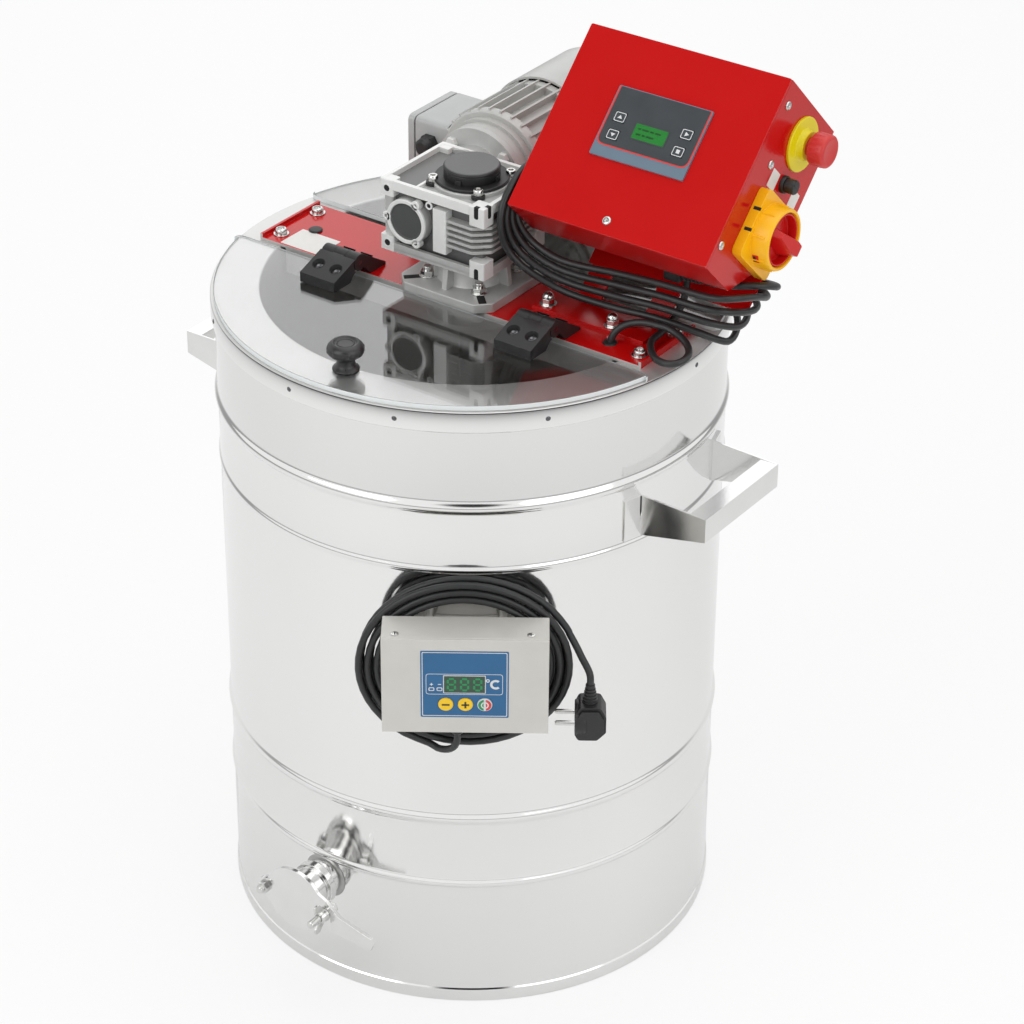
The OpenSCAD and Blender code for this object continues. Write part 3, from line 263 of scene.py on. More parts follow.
SEAL = finish("seal_rubber", srgb(24, 24, 24), 0.6, 0.1, 10, 0.06, 0.6)
NYLON = finish("white_nylon", srgb(228, 226, 218), 0.45, grain=0.04)
CORD = finish("cord_sheath", srgb(38, 39, 40), 0.38, 0.1, 20, 0.05, 0.9)
YELLOW = finish("yellow_plastic", srgb(252, 188, 6), 0.32)
LEMON = finish("lemon_plastic", srgb(232, 216, 10), 0.34)
RED_PLASTIC = finish("red_plastic", srgb(206, 22, 20), 0.3, 0.04)
STOP_RED = finish("stop_plastic", srgb(204, 50, 48), 0.36, 0.04)
FOIL_DARK = finish("keypad_foil", srgb(62, 66, 70), 0.34, 0.03, 20, 0.02, 0.6)
FOIL_BLUE_GREY = finish("keypad_border", srgb(104, 122, 138), 0.36, 0.03, 20, 0.02, 0.6)
FOIL_RED = finish("keypad_line", srgb(214, 60, 56), 0.36, grain=0)
FOIL_WHITE = finish("foil_mark", srgb(214, 216, 218), 0.4, 0.02, 10, 0)
LCD = finish("green_display", srgb(40, 128, 52), 0.22, 0.04, 6, 0.02, 0.4, coat=0.5)
LCD_MARK = finish("display_mark", srgb(28, 74, 34), 0.3, 0.02, 10, 0)
LIGHT_BOX = finish("light_housing", srgb(203, 201, 195), 0.4, 0.035, 30, 0.08, 1.2, metal=0.15)
FOIL_BLUE = finish("blue_foil", srgb(36, 96, 142), 0.36, 0.04, 20, 0.02, 0.6)
GLASS_DARK = finish("dark_window", srgb(20, 62, 40), 0.15, 0.05, 10, 0, coat=0.6)
DIGIT = finish("green_digit", srgb(30, 140, 82), 0.4, 0.02, 4, 0)
KEY_YELLOW = finish("yellow_key", srgb(240, 196, 30), 0.4, 0.03, 6, 0.02, 0.5)
KEY_GREEN = finish("green_mark", srgb(34, 140, 84), 0.4, 0.03, 6, 0.02, 0.5)
KEY_RED = finish("red_mark", srgb(206, 60, 60), 0.4, 0.03, 6, 0)
KEY_MARK = finish("dark_mark", srgb(70, 66, 30), 0.45, 0.03, 6, 0)
LABEL = finish("blank_label", srgb(226, 224, 220), 0.45, 0.03, 10, 0.02)
# Near black painted shade, laid as flat discs, patches and linings where holes, slots and countersinks are.
PAINTED_HOLE_SHADE = finish("deep_shade", srgb(16, 16, 17), 0.7, 0.1, 10, 0)


# Clear sheet, with faint smears that vary its gloss
ACRYLIC = finish("clear_acrylic", (0.97, 0.975, 0.975), 0.002, 0, 60, 0)
CLEAR = ACRYLIC.node_tree.nodes["Principled BSDF"].inputs
CLEAR["Transmission Weight"].default_value = 1
CLEAR["IOR"].default_value = 1.75
ACRYLIC_EDGE = finish("sawn_acrylic_edge", srgb(226, 230, 230), 0.4, 0.02, 10, 0.03, 0.5)


# Outlines and profiles


def arc(x, y, r, start, end, steps):
    """Points along an arc, from one angle in degrees to another."""
    angles = [radians(start + (end - start) * i / steps) for i in range(steps + 1)]
    return [(x + r * cos(a), y + r * sin(a)) for a in angles]


def rounded(points, r, steps=5):
    """The outline with each corner rounded by an arc of radius r, or of its own radius from a list."""
    made = []
    count = len(points)
    for i, p in enumerate(points):
        corner = Vector(p)
        before = Vector(points[i - 1]) - corner
        after = Vector(points[(i + 1) % count]) - corner
        radius = r[i] if isinstance(r, (list, tuple)) else r
        half = before.angle(after) / 2
        reach = min(radius / tan(half), before.length * 0.49, after.length * 0.49) if radius else 0
        if reach < 1e-6:
            made.append(tuple(corner))
            continue
        a = corner + before.normalized() * reach
        b = corner + after.normalized() * reach
        for k in range(steps + 1):
            t = k / steps
            made.append(tuple((1 - t) ** 2 * a + 2 * t * (1 - t) * corner + t * t * b))
    return made


def rectangle(x0, y0, x1, y1, r=0, steps=5):
    return rounded([(x0, y0), (x1, y0), (x1, y1), (x0, y1)], r, steps)


def circle(x, y, r, steps=40):
    return arc(x, y, r, 0, 360 * (steps - 1) / steps, steps - 1)


def hexagon(r, turn=0):
    return arc(0, 0, r, turn, turn + 300, 5)


class Shape:
    """One piece made of closed solids, each drawn in a frame of its own."""

    def __init__(self):
        self.mesh = bmesh.new()

    def ring(self, where, outline, z, slope=0):
        """The points of an outline at one height, or on a plane that rises along x."""
        return [self.mesh.verts.new(where @ Vector((x, y, z + slope * x))) for x, y in outline]

    def face(self, points, look):
        self.mesh.faces.new(points).material_index = look

    def wall(self, low, high, look):
        """Faces between two rings, one of which may be a single point."""
        count = max(len(low), len(high))
        for i in range(count if count > 1 else 0):
            k = (i + 1) % count
            if len(low) == 1:
                self.face([low[0], high[k], high[i]], look)
            elif len(high) == 1:
                self.face([low[i], low[k], high[0]], look)
            else:
                self.face([low[i], low[k], high[k], high[i]], look)

    def solid(self, low, high, look):
        """A closed solid between two rings of equal count."""
        self.face(list(reversed(low)), look)
        self.face(high, look)
        self.wall(low, high, look)

    def prism(self, outline, z0, z1, where=ROW, look=0):
        self.solid(self.ring(where, outline, z0), self.ring(where, outline, z1), look)

    def box(self, lo, hi, where=ROW, look=0, r=0):
        self.prism(rectangle(lo[0], lo[1], hi[0], hi[1], r), lo[2], hi[2], where, look)

    def band(self, outer, inner, z0, z1, where, look):
        """A flat band between two outlines of equal count."""
        rows = [self.ring(where, *row) for row in ((outer, z0), (outer, z1), (inner, z1), (inner, z0))]
        for low, high in zip(rows, rows[1:] + rows[:1]):
            self.wall(low, high, look)

    def lathe(self, profile, where=ROW, look=0, turns=48, closed=False, looks=None):
        """Turns a profile of (radius, height) points about the frame's third axis."""
        rings = [self.ring(where, circle(0, 0, r, turns) if r > 1e-6 else [(0, 0)], z) for r, z in profile]
        pairs = list(zip(rings, rings[1:])) + ([(rings[-1], rings[0])] if closed else [])
        for index, (low, high) in enumerate(pairs):
            self.wall(low, high, looks[index] if looks else look)

    def ball(self, r, where=ROW, look=0, height=1, turns=24):
        """A dome that stands on the frame's floor."""
        steps = 7
        slopes = [pi / 2 * i / steps for i in range(1, steps)]
        dome = [(r * cos(a), r * height * sin(a)) for a in slopes]
        self.lathe([(0, 0), (r, 0)] + dome + [(0, r * height)], where, look, turns)

    def object(self, name):
        bmesh.ops.recalc_face_normals(self.mesh, faces=self.mesh.faces)
        mesh = bpy.data.meshes.new(name)
        self.mesh.to_mesh(mesh)
        self.mesh.free()
        return add_object(name, mesh)

    def done(self, name, *facts, **edges):
        """Finishes the piece: holes, soft edges, looks and body."""
        return dress(self.object(name), *facts, **edges)


def apply_cut(made, cutters):
    """Takes the cutters' solids out of a piece."""
    tool = cutters.object(made.name + "_cutter")
    cut = made.modifiers.new("cut", "BOOLEAN")
    cut.operation = "DIFFERENCE"
    cut.solver = "EXACT"
    cut.use_self = True
    cut.object = tool
    graph = bpy.context.evaluated_depsgraph_get()
    graph.update()
    mesh = bpy.data.meshes.new_from_object(made.evaluated_get(graph))
    made.modifiers.remove(cut)
    made.data = mesh
    bpy.data.objects.remove(tool)


def dress(made, body, slot, looks, bevel=0, cutters=None, instead=None, angle=35, segments=2):
    if cutters:
        apply_cut(made, cutters)
    marks = [face.material_index for face in made.data.polygons]
    made.data.materials.clear()
    for look in looks:
        made.data.materials.append(look)
    made.data.polygons.foreach_set("material_index", marks)
    if bevel:
        soft = made.modifiers.new("soft_edges", "BEVEL")
        soft.width = bevel * MM
        soft.segments = segments
        soft.limit_method = "ANGLE"
        soft.angle_limit = radians(angle)
        soft.harden_normals = False
    made.data.shade_smooth()
    made.data.set_sharp_from_angle(angle=radians(angle))
    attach(made, body)
    if instead:
        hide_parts(instead)
    return made


def body_of(node):
    return frame["nodes"][node]["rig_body"]


def slot_of(node):
    return next(part["material_slot"] for part in frame["record"]["subparts"] if part["node"] == node)


def soften(node, looks, bevel=0.8, cutters=None, angle=35, segments=2):
    """A copy of a frame node with its edges rounded, in its place."""
    source = frame["nodes"][node]
    mesh = source.data.copy()
    made = add_object(node + "_soft", mesh)
    work = bmesh.new()
    work.from_mesh(mesh)
    bmesh.ops.remove_doubles(work, verts=work.verts, dist=0.00002)
    bmesh.ops.dissolve_limit(work, angle_limit=radians(0.6), verts=work.verts, edges=work.edges)
    for face in work.faces:
        face.material_index = 0
    work.to_mesh(mesh)
    work.free()
    if mesh.attributes.get("custom_normal"):
        mesh.attributes.remove(mesh.attributes["custom_normal"])
    return dress(made, body_of(node), slot_of(node), looks, bevel, cutters, node, angle, segments)


def paint(node, look):
    """A better material on a frame node that stays as it is."""
    mesh = frame["nodes"][node].data
    mesh.materials.clear()
    mesh.materials.append(look)


def piece(node, shape, looks, *soft, **edges):
    """A modelled piece that stands for a frame node."""
    return shape.done(node + "_shape", body_of(node), slot_of(node), looks, *soft, instead=node, **edges)


# Leads, which follow the routes of the construction in millimetres


def smooth(x):
    c = min(1, max(0, x))
    return c * c * (3 - 2 * c)


def eased(points, steps):
    """The route as a denser smooth line through the same points."""
    made = []
    last = len(points) - 1
    for i in range(last):
        knots = (points[max(i - 1, 0)], points[i], points[i + 1], points[min(i + 2, last)])
        made += [bend(*knots, k / steps) for k in range(steps)]
    return made + [points[-1]]




def lead(name, route, node, **facts):
    """A cord as one curve along its route."""
    curve = bpy.data.curves.new(name, "CURVE")
    curve.dimensions = "3D"
    curve.bevel_depth = CORD_D / 2 * MM
    curve.bevel_resolution = 4
    curve.use_fill_caps = True
    spline = curve.splines.new("POLY")
    spline.points.add(len(route) - 1)
    for point, p in zip(spline.points, route):
        point.co = (*(p * MM), 1)
    spline.use_smooth = True
    curve.materials.append(CORD)
    made = add_object(name, curve)
    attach(made, "tank")
    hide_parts(node)


def vectors(points):
    return [Vector(p) for p in points]


# Inner and outer turn of the hank that lies round the control box's legs
HANK_INNER = (
    (272, 0, 755), (293, 12, 757), (299, 40, 750), (294, 66, 737), (272, 88, 728),
    (205, 90, 724), (140, 91, 726), (82, 86, 734), (57, 68, 755), (57.4, 38, 794), (57.8, 5, 799),
    (58, -10, 780), (72, -7, 757), (110, -6, 745), (165, 0, 747), (220, 0, 752),
)
HANK_OUTER = (
    (246, 12, 708), (264, 24, 701), (270, 42, 694), (264, 66, 696), (243, 92, 697),
    (198, 104, 701), (135, 108, 706), (72, 112, 724), (57, 102, 765), (57.2, 46, 822), (57.5, -4, 823),
    (57.5, -35, 790), (65, -29, 748), (103, -12, 719), (155, -5, 713), (207, 3, 713),
)
HANK_KNOTS = len(HANK_INNER)
HANK_START = 3 / HANK_KNOTS
HANK_END = 4.3
HANK_FIRST = 0.88
HANK_GAPS = 3


def knot(i, share):
    k = i % HANK_KNOTS
    return Vector(HANK_INNER[k]).lerp(Vector(HANK_OUTER[k]), share)


def bend(a, b, c, d, u):
    """A point between b and c on a smooth line through all four."""
    return (2 * b + (c - a) * u + (2 * a - 5 * b + 4 * c - d) * u * u + (3 * b - a - 3 * c + d) * u**3) / 2


def hank_at(t):
    share = (t - HANK_FIRST) / HANK_GAPS
    i = int(t * HANK_KNOTS)
    points = [knot(i + k, share) for k in (HANK_KNOTS - 1, 0, 1, 2)]
    return bend(*points, t * HANK_KNOTS - i)


def mains_route():
    out = [(244, 30, 751), (254, 30, 751), (264, 31, 752), (275, 34, 753), (286, 39, 754)]
    out += [(295, 46, 754), (300.5, 55, 751.5)]
    home = [(196, 106, 698), (186, 111, 699), (176, 117, 701), (166, 123, 704), (157, 128, 707)]
    home += [(148, 131, 709), (140, 131, 709)]
    wound = HANK_END - HANK_START
    count = round(wound * 2 * HANK_KNOTS)
    loops = [hank_at(HANK_START + wound * i / count) for i in range(count + 1)]
    return vectors(out) + loops + vectors(home)


COIL_Z = 419
COIL_R = 94
COIL_WIDE = 1.1
COIL_STEP = 8
COIL_FROM = -110
COIL_TURNS = 5 + 225 / 360
COIL_RINGS = 24
COIL_LAYERS = (267, 259)


def coil_at(s):
    a = radians(COIL_FROM - 360 * s)
    r = COIL_R - COIL_STEP * min(s, COIL_TURNS - s)
    rise = smooth((s - COIL_TURNS / 2 + 0.25) / 0.5)
    away = COIL_LAYERS[0] + (COIL_LAYERS[1] - COIL_LAYERS[0]) * rise
    return Vector((COIL_WIDE * r * cos(a), -away, COIL_Z + r * sin(a)))


def heater_route():
    out = [(-8, -286, 356), (-8, -286, 349), (-10, -285, 341), (-14, -282, 335), (-20, -278, 331)]
    out += [(-27, -273, 329)]
    home = [(97, -260, 452), (101, -262, 445), (105, -265, 438), (109, -269, 431), (113, -273, 425)]
    home += [(116, -276.5, 419.5), (117, -278, 414), (117, -278, 408)]
    count = round(COIL_TURNS * COIL_RINGS)
    loops = [coil_at(COIL_TURNS * i / count) for i in range(count + 1)]
    turned = Matrix.Rotation(radians(HEATER_TURN), 3, "Z")
    return [turned @ p for p in vectors(out) + loops + vectors(home)]


LINK_ROUTE = [
    (216, 46, 744), (216, 46, 737), (216, 45, 728), (216, 42, 719), (215, 37, 710),
    (214, 30, 703), (213, 21, 699), (213, 11, 696), (213, 1, 695), (214, -8, 695), (218, -17, 696),
    (224, -26, 697), (232, -35, 698), (241, -42, 698), (252, -45, 699), (261, -42, 700),
    (266, -34, 702), (265, -25, 704), (259, -17, 706), (250, -11, 708), (240, -8, 710),
    (229, -7, 712), (218, -8, 712), (207, -10, 712), (197, -13, 710), (188, -17, 706),
    (182, -21, 700), (179, -24, 693), (178, -25, 686), (178, -25, 679), (178, -25, 672),
]


def ribbed(foot, radius, grow, depth, start, pitch, heights, end, count=6):
    """Profile of a strain relief: a row of ridges, with a groove after each one."""
    profile = [(0, 0), (foot, 0)]
    for i in range(count):
        r, z = radius + i * grow, start + i * pitch
        profile += [(r, z), (r, z + heights[0]), (r - depth, z + heights[1]), (r - depth, z + heights[2])]
    return profile + [end, (0, end[1])]


def plug_shape(where):
    """A round moulded mains plug whose cord enters along the frame's third axis."""
    neck, end = 24, 60
    made = Shape()
    made.lathe(ribbed(4.4, 4.6, 0.6, 0.9, 2.5, 3.4, (2, 2.3, 3.1), (8, neck)), where, 0, 32)
    shell = [(0, neck - 1), (7.5, neck - 1), (10.5, neck + 4), (14.5, neck + 12), (17, neck + 18)]
    shell += [(17.6, neck + 21), (17.8, end - 8), (17.2, end - 6.5), (17.2, end - 1), (16.4, end), (0, end)]
    made.lathe(shell, where)
    for turn in range(0, 360, 30):
        made.box((16.6, -1.2, neck + 19), (17.9, 1.2, end - 9), spun(where, turn))
    for y in (-9.5, 9.5):
        pin = [(0, end - 1), (2.4, end - 1), (2.4, end + 17), (1.8, end + 19), (0, end + 19)]
        made.lathe(pin, at(where, 0, y, 0), 1, 24)
    return made


def leads():
    """The three leads with their plugs."""
    mains = eased(mains_route(), 2)
    mains_end = place(*mains[-1], -90, "Y")
    mains_plug = piece("mains_plug", plug_shape(mains_end), [BLACK, ZINC], 0.3)
    cable_glands()
    lead("mains_flex", mains, "mains_lead", far_end="plug", lay="coiled", with_pieces=[mains_plug])
    heater = eased(heater_route(), 2)
    heater_plug = piece("heater_plug", angled_plug(heater[-1]), [BLACK, ZINC], 0.5)
    lead("heater_flex", heater, "heater_lead", far_end="plug", lay="coiled", with_pieces=[heater_plug])
    lead("link_flex", eased(vectors(LINK_ROUTE), 4), "link_lead", far_end="object", lay="loose")


def angled_plug(end):
    """A plug that hangs from its cord, with a flattened body and pins that look back round the drum."""
    made = Shape()
    where = spun(place(end.x, end.y, end.z, HEATER_TURN, "Z"), 180, "X")
    made.lathe(ribbed(4.4, 4.6, 0.6, 0.9, 1.5, 3.2, (1.9, 2.2, 2.9), (8.4, 21)), where, 0, 32)
    turned = spun(where, 90, "X")
    body = [(-10, 19), (10, 19), (15.5, 30), (15.5, 47), (7, 56), (-11, 56), (-14, 50), (-14, 28)]
    made.prism(rounded(body, 4, 4), -13, 13, turned)
    panel = [(-8, 22), (8.5, 22), (13, 31), (13, 45), (6, 53), (-9, 53), (-12, 49), (-12, 29)]
    for low, high in ((-15.6, -12.8), (12.8, 15.6)):
        made.prism(rounded(panel, 3, 4), low, high, turned)
    across = at(where, -14, 0, 38, 90, "Y")
    made.lathe([(0, -0.2), (16.8, -0.2), (17.6, 1.2), (17.6, 9), (16.8, 10.5), (0, 10.5)], across)
    for y in (-9.5, 9.5):
        made.lathe([(0, -19), (1.8, -19), (2.4, -17), (2.4, 1), (0, 1)], at(across, 0, y, 0), 1, 24)
    return made


def cable_glands():
    """Strain reliefs of the leads and the motor's cable gland."""
    made = Shape()
    made.box((204, 22, BOX_BASE - 16), (222, 38, BOX_BASE), ROW, 0, 2)
    made.box((206, 20.5, BOX_BASE - 12), (220, 39.5, BOX_BASE - 4), ROW, 0, 1)
    boot = ribbed(6.4, 6.4, -0.4, 1, 1.5, 4, (2.1, 2.5, 3.5), (4.4, 22), 5)
    made.lathe(boot, place(222, 30, 751, 90, "Y"), 0, 32)
    link = place(216, 46, 744)
    made.prism(hexagon(7.6), 9, 15.9, link)
    made.lathe([(0, 0), (4.4, 0), (6.3, 3), (6.6, 9), (0, 9)], link, 0, 32)
    motor_gland = place(-123, 84, 764, -90)
    made.prism(hexagon(11), 6, 14, motor_gland)
    made.lathe([(0, -2), (6.5, -2), (9, 0), (9.6, 5), (9.6, 6.5), (0, 6.5)], motor_gland, 0, 36)
    foot = at(HEATER, -8, -286, 356)
    made.prism(hexagon(8.2), 13, 20, foot)
    made.lathe([(0, 0), (4.5, 0), (6.8, 3), (7.2, 13), (0, 13)], foot, 0, 32)
    piece("cable_glands", made, [BLACK], 0.4)


# Tank


def jacket_profile():
    """Outer wall from the rolled foot to the rim band, with its swaged beads."""
    beads = [(148, 5, 2), (227, 7, 2.5), (514, 4, 1.5), (582, 7.5, 3)]
    points = [(248, 0), (250.2, 0), (251.1, 1.5), (251.5, 4), (251.5, 12.5), (251.2, 14.5), (250.1, 16)]
    steps = 12
    for middle, half, out in beads:
        for i in range(steps + 1):
            share = -1 + 2 * i / steps
            swell = out * (0.5 + 0.5 * cos(pi * share))
            points.append((DRUM_R + swell, middle + share * (half + 1)))
    points += [(250, 662.5), (252.2, 663.2), (253.2, 664.4), (253.5, 666), (253.5, 681.5), (253.1, 683.1)]
    return points + [(252, 683.4), (248, 683.4)]


def outlet_cutter():
    cutter = Shape()
    cutter.lathe([(0, -30), (20.1, -30), (20.1, 100), (0, 100)], front(0, -190, GATE_Z), 0, 64)
    return cutter


def tank():
    jacket = Shape()
    jacket.lathe(jacket_profile(), ROW, 0, 256, True)
    piece("outer_shell", jacket, [MIRROR], cutters=outlet_cutter(), angle=25)
    liner = Shape()
    wall = [(0, 98), (207, 98), (207, 683.4), (252.6, 683.4), (253.4, 683.8), (253.4, 684.6), (252.8, 685)]
    wall += [(208, 685), (206.2, 684.6), (205.2, 683.4), (205, 681), (205, 104), (203.8, 101.2), (201, 100)]
    # The rim's underside and outer lip take dark steel as a painted shadow line under the lid's edge.
    looks = [0, 0, 2, 2, 2, 1, 1, 1, 1, 0, 0, 0, 0, 0]
    liner.lathe(wall + [(0, 100)], ROW, 0, 256, False, looks)
    piece("inner_tank", liner, [LINER, RIM, DARK_STEEL_AND_LIP_SHADE], cutters=outlet_cutter(), angle=30)
    paint("base_plate", BRUSHED)
    paint("insulation", WOOL)
    paint("heating_mat", SILICONE)
    paint("temperature_probe", DARK_STEEL_AND_LIP_SHADE)
    paint("foot_bush", NYLON)
    for node in ("left_handle", "right_handle"):
        soften(node, [POLISHED], 0.7, segments=3)
    rivets = Shape()
    for azimuth in (-41, -5.5, 20, 52, 92, 130, 170, 215, 250, 290):
        spin = place(0, 0, 0, azimuth, "Z")
        rivets.ball(2.6, at(spin, 0, -253.2, 674, 90, "X"), 0, 0.45, 16)
    rivets.done("rim_rivets", "tank", "brushed", [DARK_STEEL_AND_LIP_SHADE])
    welds = Shape()
    seam = [(20, 0), (24.5, 0), (23.4, 1.6), (21.4, 2.6), (20, 3)]
    welds.lathe(seam, front(0, -249.2, GATE_Z), 0, 64, True)
    welds.done("outlet_weld", "tank", "brushed", [BRUSHED])


def gate():
    soften("gate_body", [POLISHED], 0.5)
    soften("gate_plate", [POLISHED], 0.8, segments=3)
    paint("gate_seal", SEAL)
    bolts = Shape()
    for x in (-38, 38):
        length = 19.3 if x < 0 else 33.3
        stud = [(0, -4.6), (4, -4.6), (4, length - 1.2), (3, length), (0, length)]
        bolts.lathe(stud, front(x, -290, GATE_Z), 0, 28)
        bolts.prism(hexagon(6.6), -5, 0, front(x, -290, GATE_Z))
    bolts.prism(hexagon(6.6, 12), 9.8, 14.6, front(-38, -290, GATE_Z))
    bolts.ball(4.4, front(-38, -304.6, GATE_Z), 0, 0.8, 24)
    piece("gate_bolts", bolts, [ZINC], 0.5)
    wings = Shape()
    hub = front(38, -299.7, GATE_Z)
    wings.lathe([(4.2, 0), (7.4, 0), (7, 2), (6.2, 8), (5.4, 9), (4.2, 9)], hub, 0, 36, True)
    outline = rounded([(-1, 4.5), (-2, 9), (-8, 16.5), (-15, 17), (-15, 11), (-9, 5)], [0.5, 1, 3, 3, 3, 2])
    for turn in (0, 180):
        wings.prism(outline, -1.2, 1.2, spun(hub, turn) @ ACROSS)
    piece("wing_nut", wings, [ZINC], 0.5, segments=3)


# Crossbar and lids


def acorn_nut(made, where):
    made.lathe([(0, 0), (8.4, 0), (8.4, 1.5), (0, 1.5)], where, 0, 32)
    made.prism(hexagon(6.6, 10), 1.5, 7.5, where)
    made.ball(5.6, at(where, 0, 0, 7.5), 0, 1.1, 28)


def cap_screw(made, where):
    made.lathe([(0, 0), (8, 0), (8, 1.4), (0, 1.4)], where, 0, 32)
    made.lathe([(0, 1.4), (6, 1.4), (6.1, 4.6), (5.2, 6.4), (3.4, 7), (3.2, 5), (0, 5)], where, 0, 32)


def crossbar():
    bar = soften("crossbar", [RED, FOLD_GREY], 0.7, segments=3)
    for face in bar.data.polygons:
        if face.center.z < (BAR_TOP - 5) * MM:
            face.material_index = 1
    parts = Shape()
    for x in (-214, 214):
        for y in (-29, 29):
            cap_screw(parts, place(x, y, BAR_TOP))
            parts.prism(hexagon(6), -9.4, -4.5, place(x, y, BAR_TOP))
    for x, y in ((90, 0), (164, 0)):
        acorn_nut(parts, place(x, y, BAR_TOP + 3))
        parts.prism(hexagon(6), -8, -3, place(x, y, BAR_TOP))
    piece("crossbar_fasteners", parts, [ZINC], 0.3)
    trim = Shape()
    trim.lathe([(0, 0), (7, 0), (7, 1.4), (6, 2.2), (0, 2.4)], place(-191, -3, BAR_TOP), 0, 32)
    trim.lathe([(3.6, -0.2), (7.2, -0.2), (6.6, 1.6), (3.7, 1.8)], place(178, -25, BAR_TOP), 0, 32, True)
    trim.done("bar_plugs", "tank", "black_plastic", [BLACK])
    label = Shape()
    label.box((-203, -44, 0), (-155, -8, 0.25), on_bar(), 0, 1.5)
    label.done("bar_label", "tank", "light_plastic", [LABEL])


def lid_outline(y_edge, forward):
    """Half a disc with its two corners cut back and rounded."""
    corner, reach = 8, 245
    drop = degrees(asin(y_edge / DRUM_R))
    level = degrees(acos(reach / DRUM_R))
    start = max(drop, level)
    points = arc(0, 0, DRUM_R, 180 + start + 1, 360 - start - 1, 96)
    if drop > level:
        cut = [(-reach, -90), (-reach, -y_edge), (reach, -y_edge), (reach, -90)]
        points += reversed(rounded(cut, [0, corner, corner, 0])[1:-1])
    return points if forward else [(-x, -y) for x, y in points]


def lids():
    for node, y_edge, z, forward in (("front_lid", 57, LID_Z, True), ("rear_lid", 56, DRUM_H, False)):
        sheet = Shape()
        sheet.prism(lid_outline(y_edge, forward), 0, LID_T, place(0, 0, z), 1)
        made = piece(node, sheet, [ACRYLIC, ACRYLIC_EDGE], 0.45)
        for face in made.data.polygons:
            if abs(face.normal.z) > 0.9:
                face.material_index = 0
    knob = Shape()
    where = place(12, -213, LID_Z + LID_T)
    profile = [(0, 0), (12.6, 0), (13, 0.8), (12.2, 2), (10, 3.2), (8.8, 5.2), (8.6, 9), (9.4, 12), (12, 14)]
    profile += [(15.2, 15.4), (16.9, 17.2), (17.5, 19.6), (17.4, 22.2), (16.4, 24.6), (14.4, 26.6)]
    profile += [(12.4, 27.7), (11.6, 27.8), (10.9, 27.2), (10.2, 26.6), (8.6, 26.4), (8.2, 26.9)]
    knob.lathe(profile + [(7.4, 26.9), (7, 26.3), (0, 26.2)], where, 0, 64)
    for turn in range(0, 360, 45):
        knob.prism(arc(0, 0, 4.6, -70, 70, 8), 17.4, 23.4, at(spun(where, turn), 13.1, 0, 0))
    piece("lid_knob", knob, [KNOB_BLACK], 0.5, angle=50)


HINGE_X = (-111, 120)
HINGE_Y = -60
HINGE_Z = 706


def hinge_holes(sign, slope, reach, lift):
    """Frames at the screw holes of a row of wings, square to their slope."""
    top = 6.3 - tan(radians(slope)) * (reach - 8) + lift
    across = [x + dx for x in HINGE_X for dx in (-10.5, 10.5)]
    return [place(x, HINGE_Y + sign * reach, HINGE_Z + top, -sign * slope) for x in across]


def hinges():
    """Black plastic hinges: three knuckles, sloping wings and deep countersunk holes."""
    bases, leaves = hinge_holes(1, 32.1, 24, 0.6), hinge_holes(-1, 19.5, 25, 0)
    for node, holes in (("hinge_bases", bases), ("hinge_leaves", leaves)):
        cutter = Shape()
        for where in holes:
            sink = [(0, 3), (7.2, 3), (6.6, 0), (4.6, -3.5), (3.2, -4.2), (3.2, -30), (0, -30)]
            cutter.lathe(sink, where, 0, 32)
        soften(node, [BLACK], 0.9, cutter)
    paint("hinge_pins", DARK_STEEL_AND_LIP_SHADE)
    for body, holes in (("lid", leaves), ("tank", bases)):
        screws = Shape()
        for where in holes:
            screws.lathe([(0, -5.2), (4.4, -5.2), (4.2, -3.6), (2.4, -3.2), (0, -4.2)], where, 0, 24)
            # A thin cone of painted shade lines the countersink round each screw head.
            screws.lathe([(4.5, -3.45), (6.55, -0.05), (6.2, -0.05), (4.2, -3.45)], where, 1, 32, True)
        screws.done(body + "_hinge_screws", body, "dark_steel", [DARK_STEEL_AND_LIP_SHADE, PAINTED_HOLE_SHADE])


# Drive


def hole_in_face(made, where, radius, rim):
    """A hole drawn as a flat disc of painted shade, with a bright rim, on a flat face."""
    made.lathe([(radius, -1), (radius + rim, -1), (radius + rim, 0.5), (radius, 0.5)], where, 1, 28, True)
    made.lathe([(0, -1), (radius + 0.1, -1), (radius + 0.1, 0.25), (0, 0.25)], where, 2, 24)


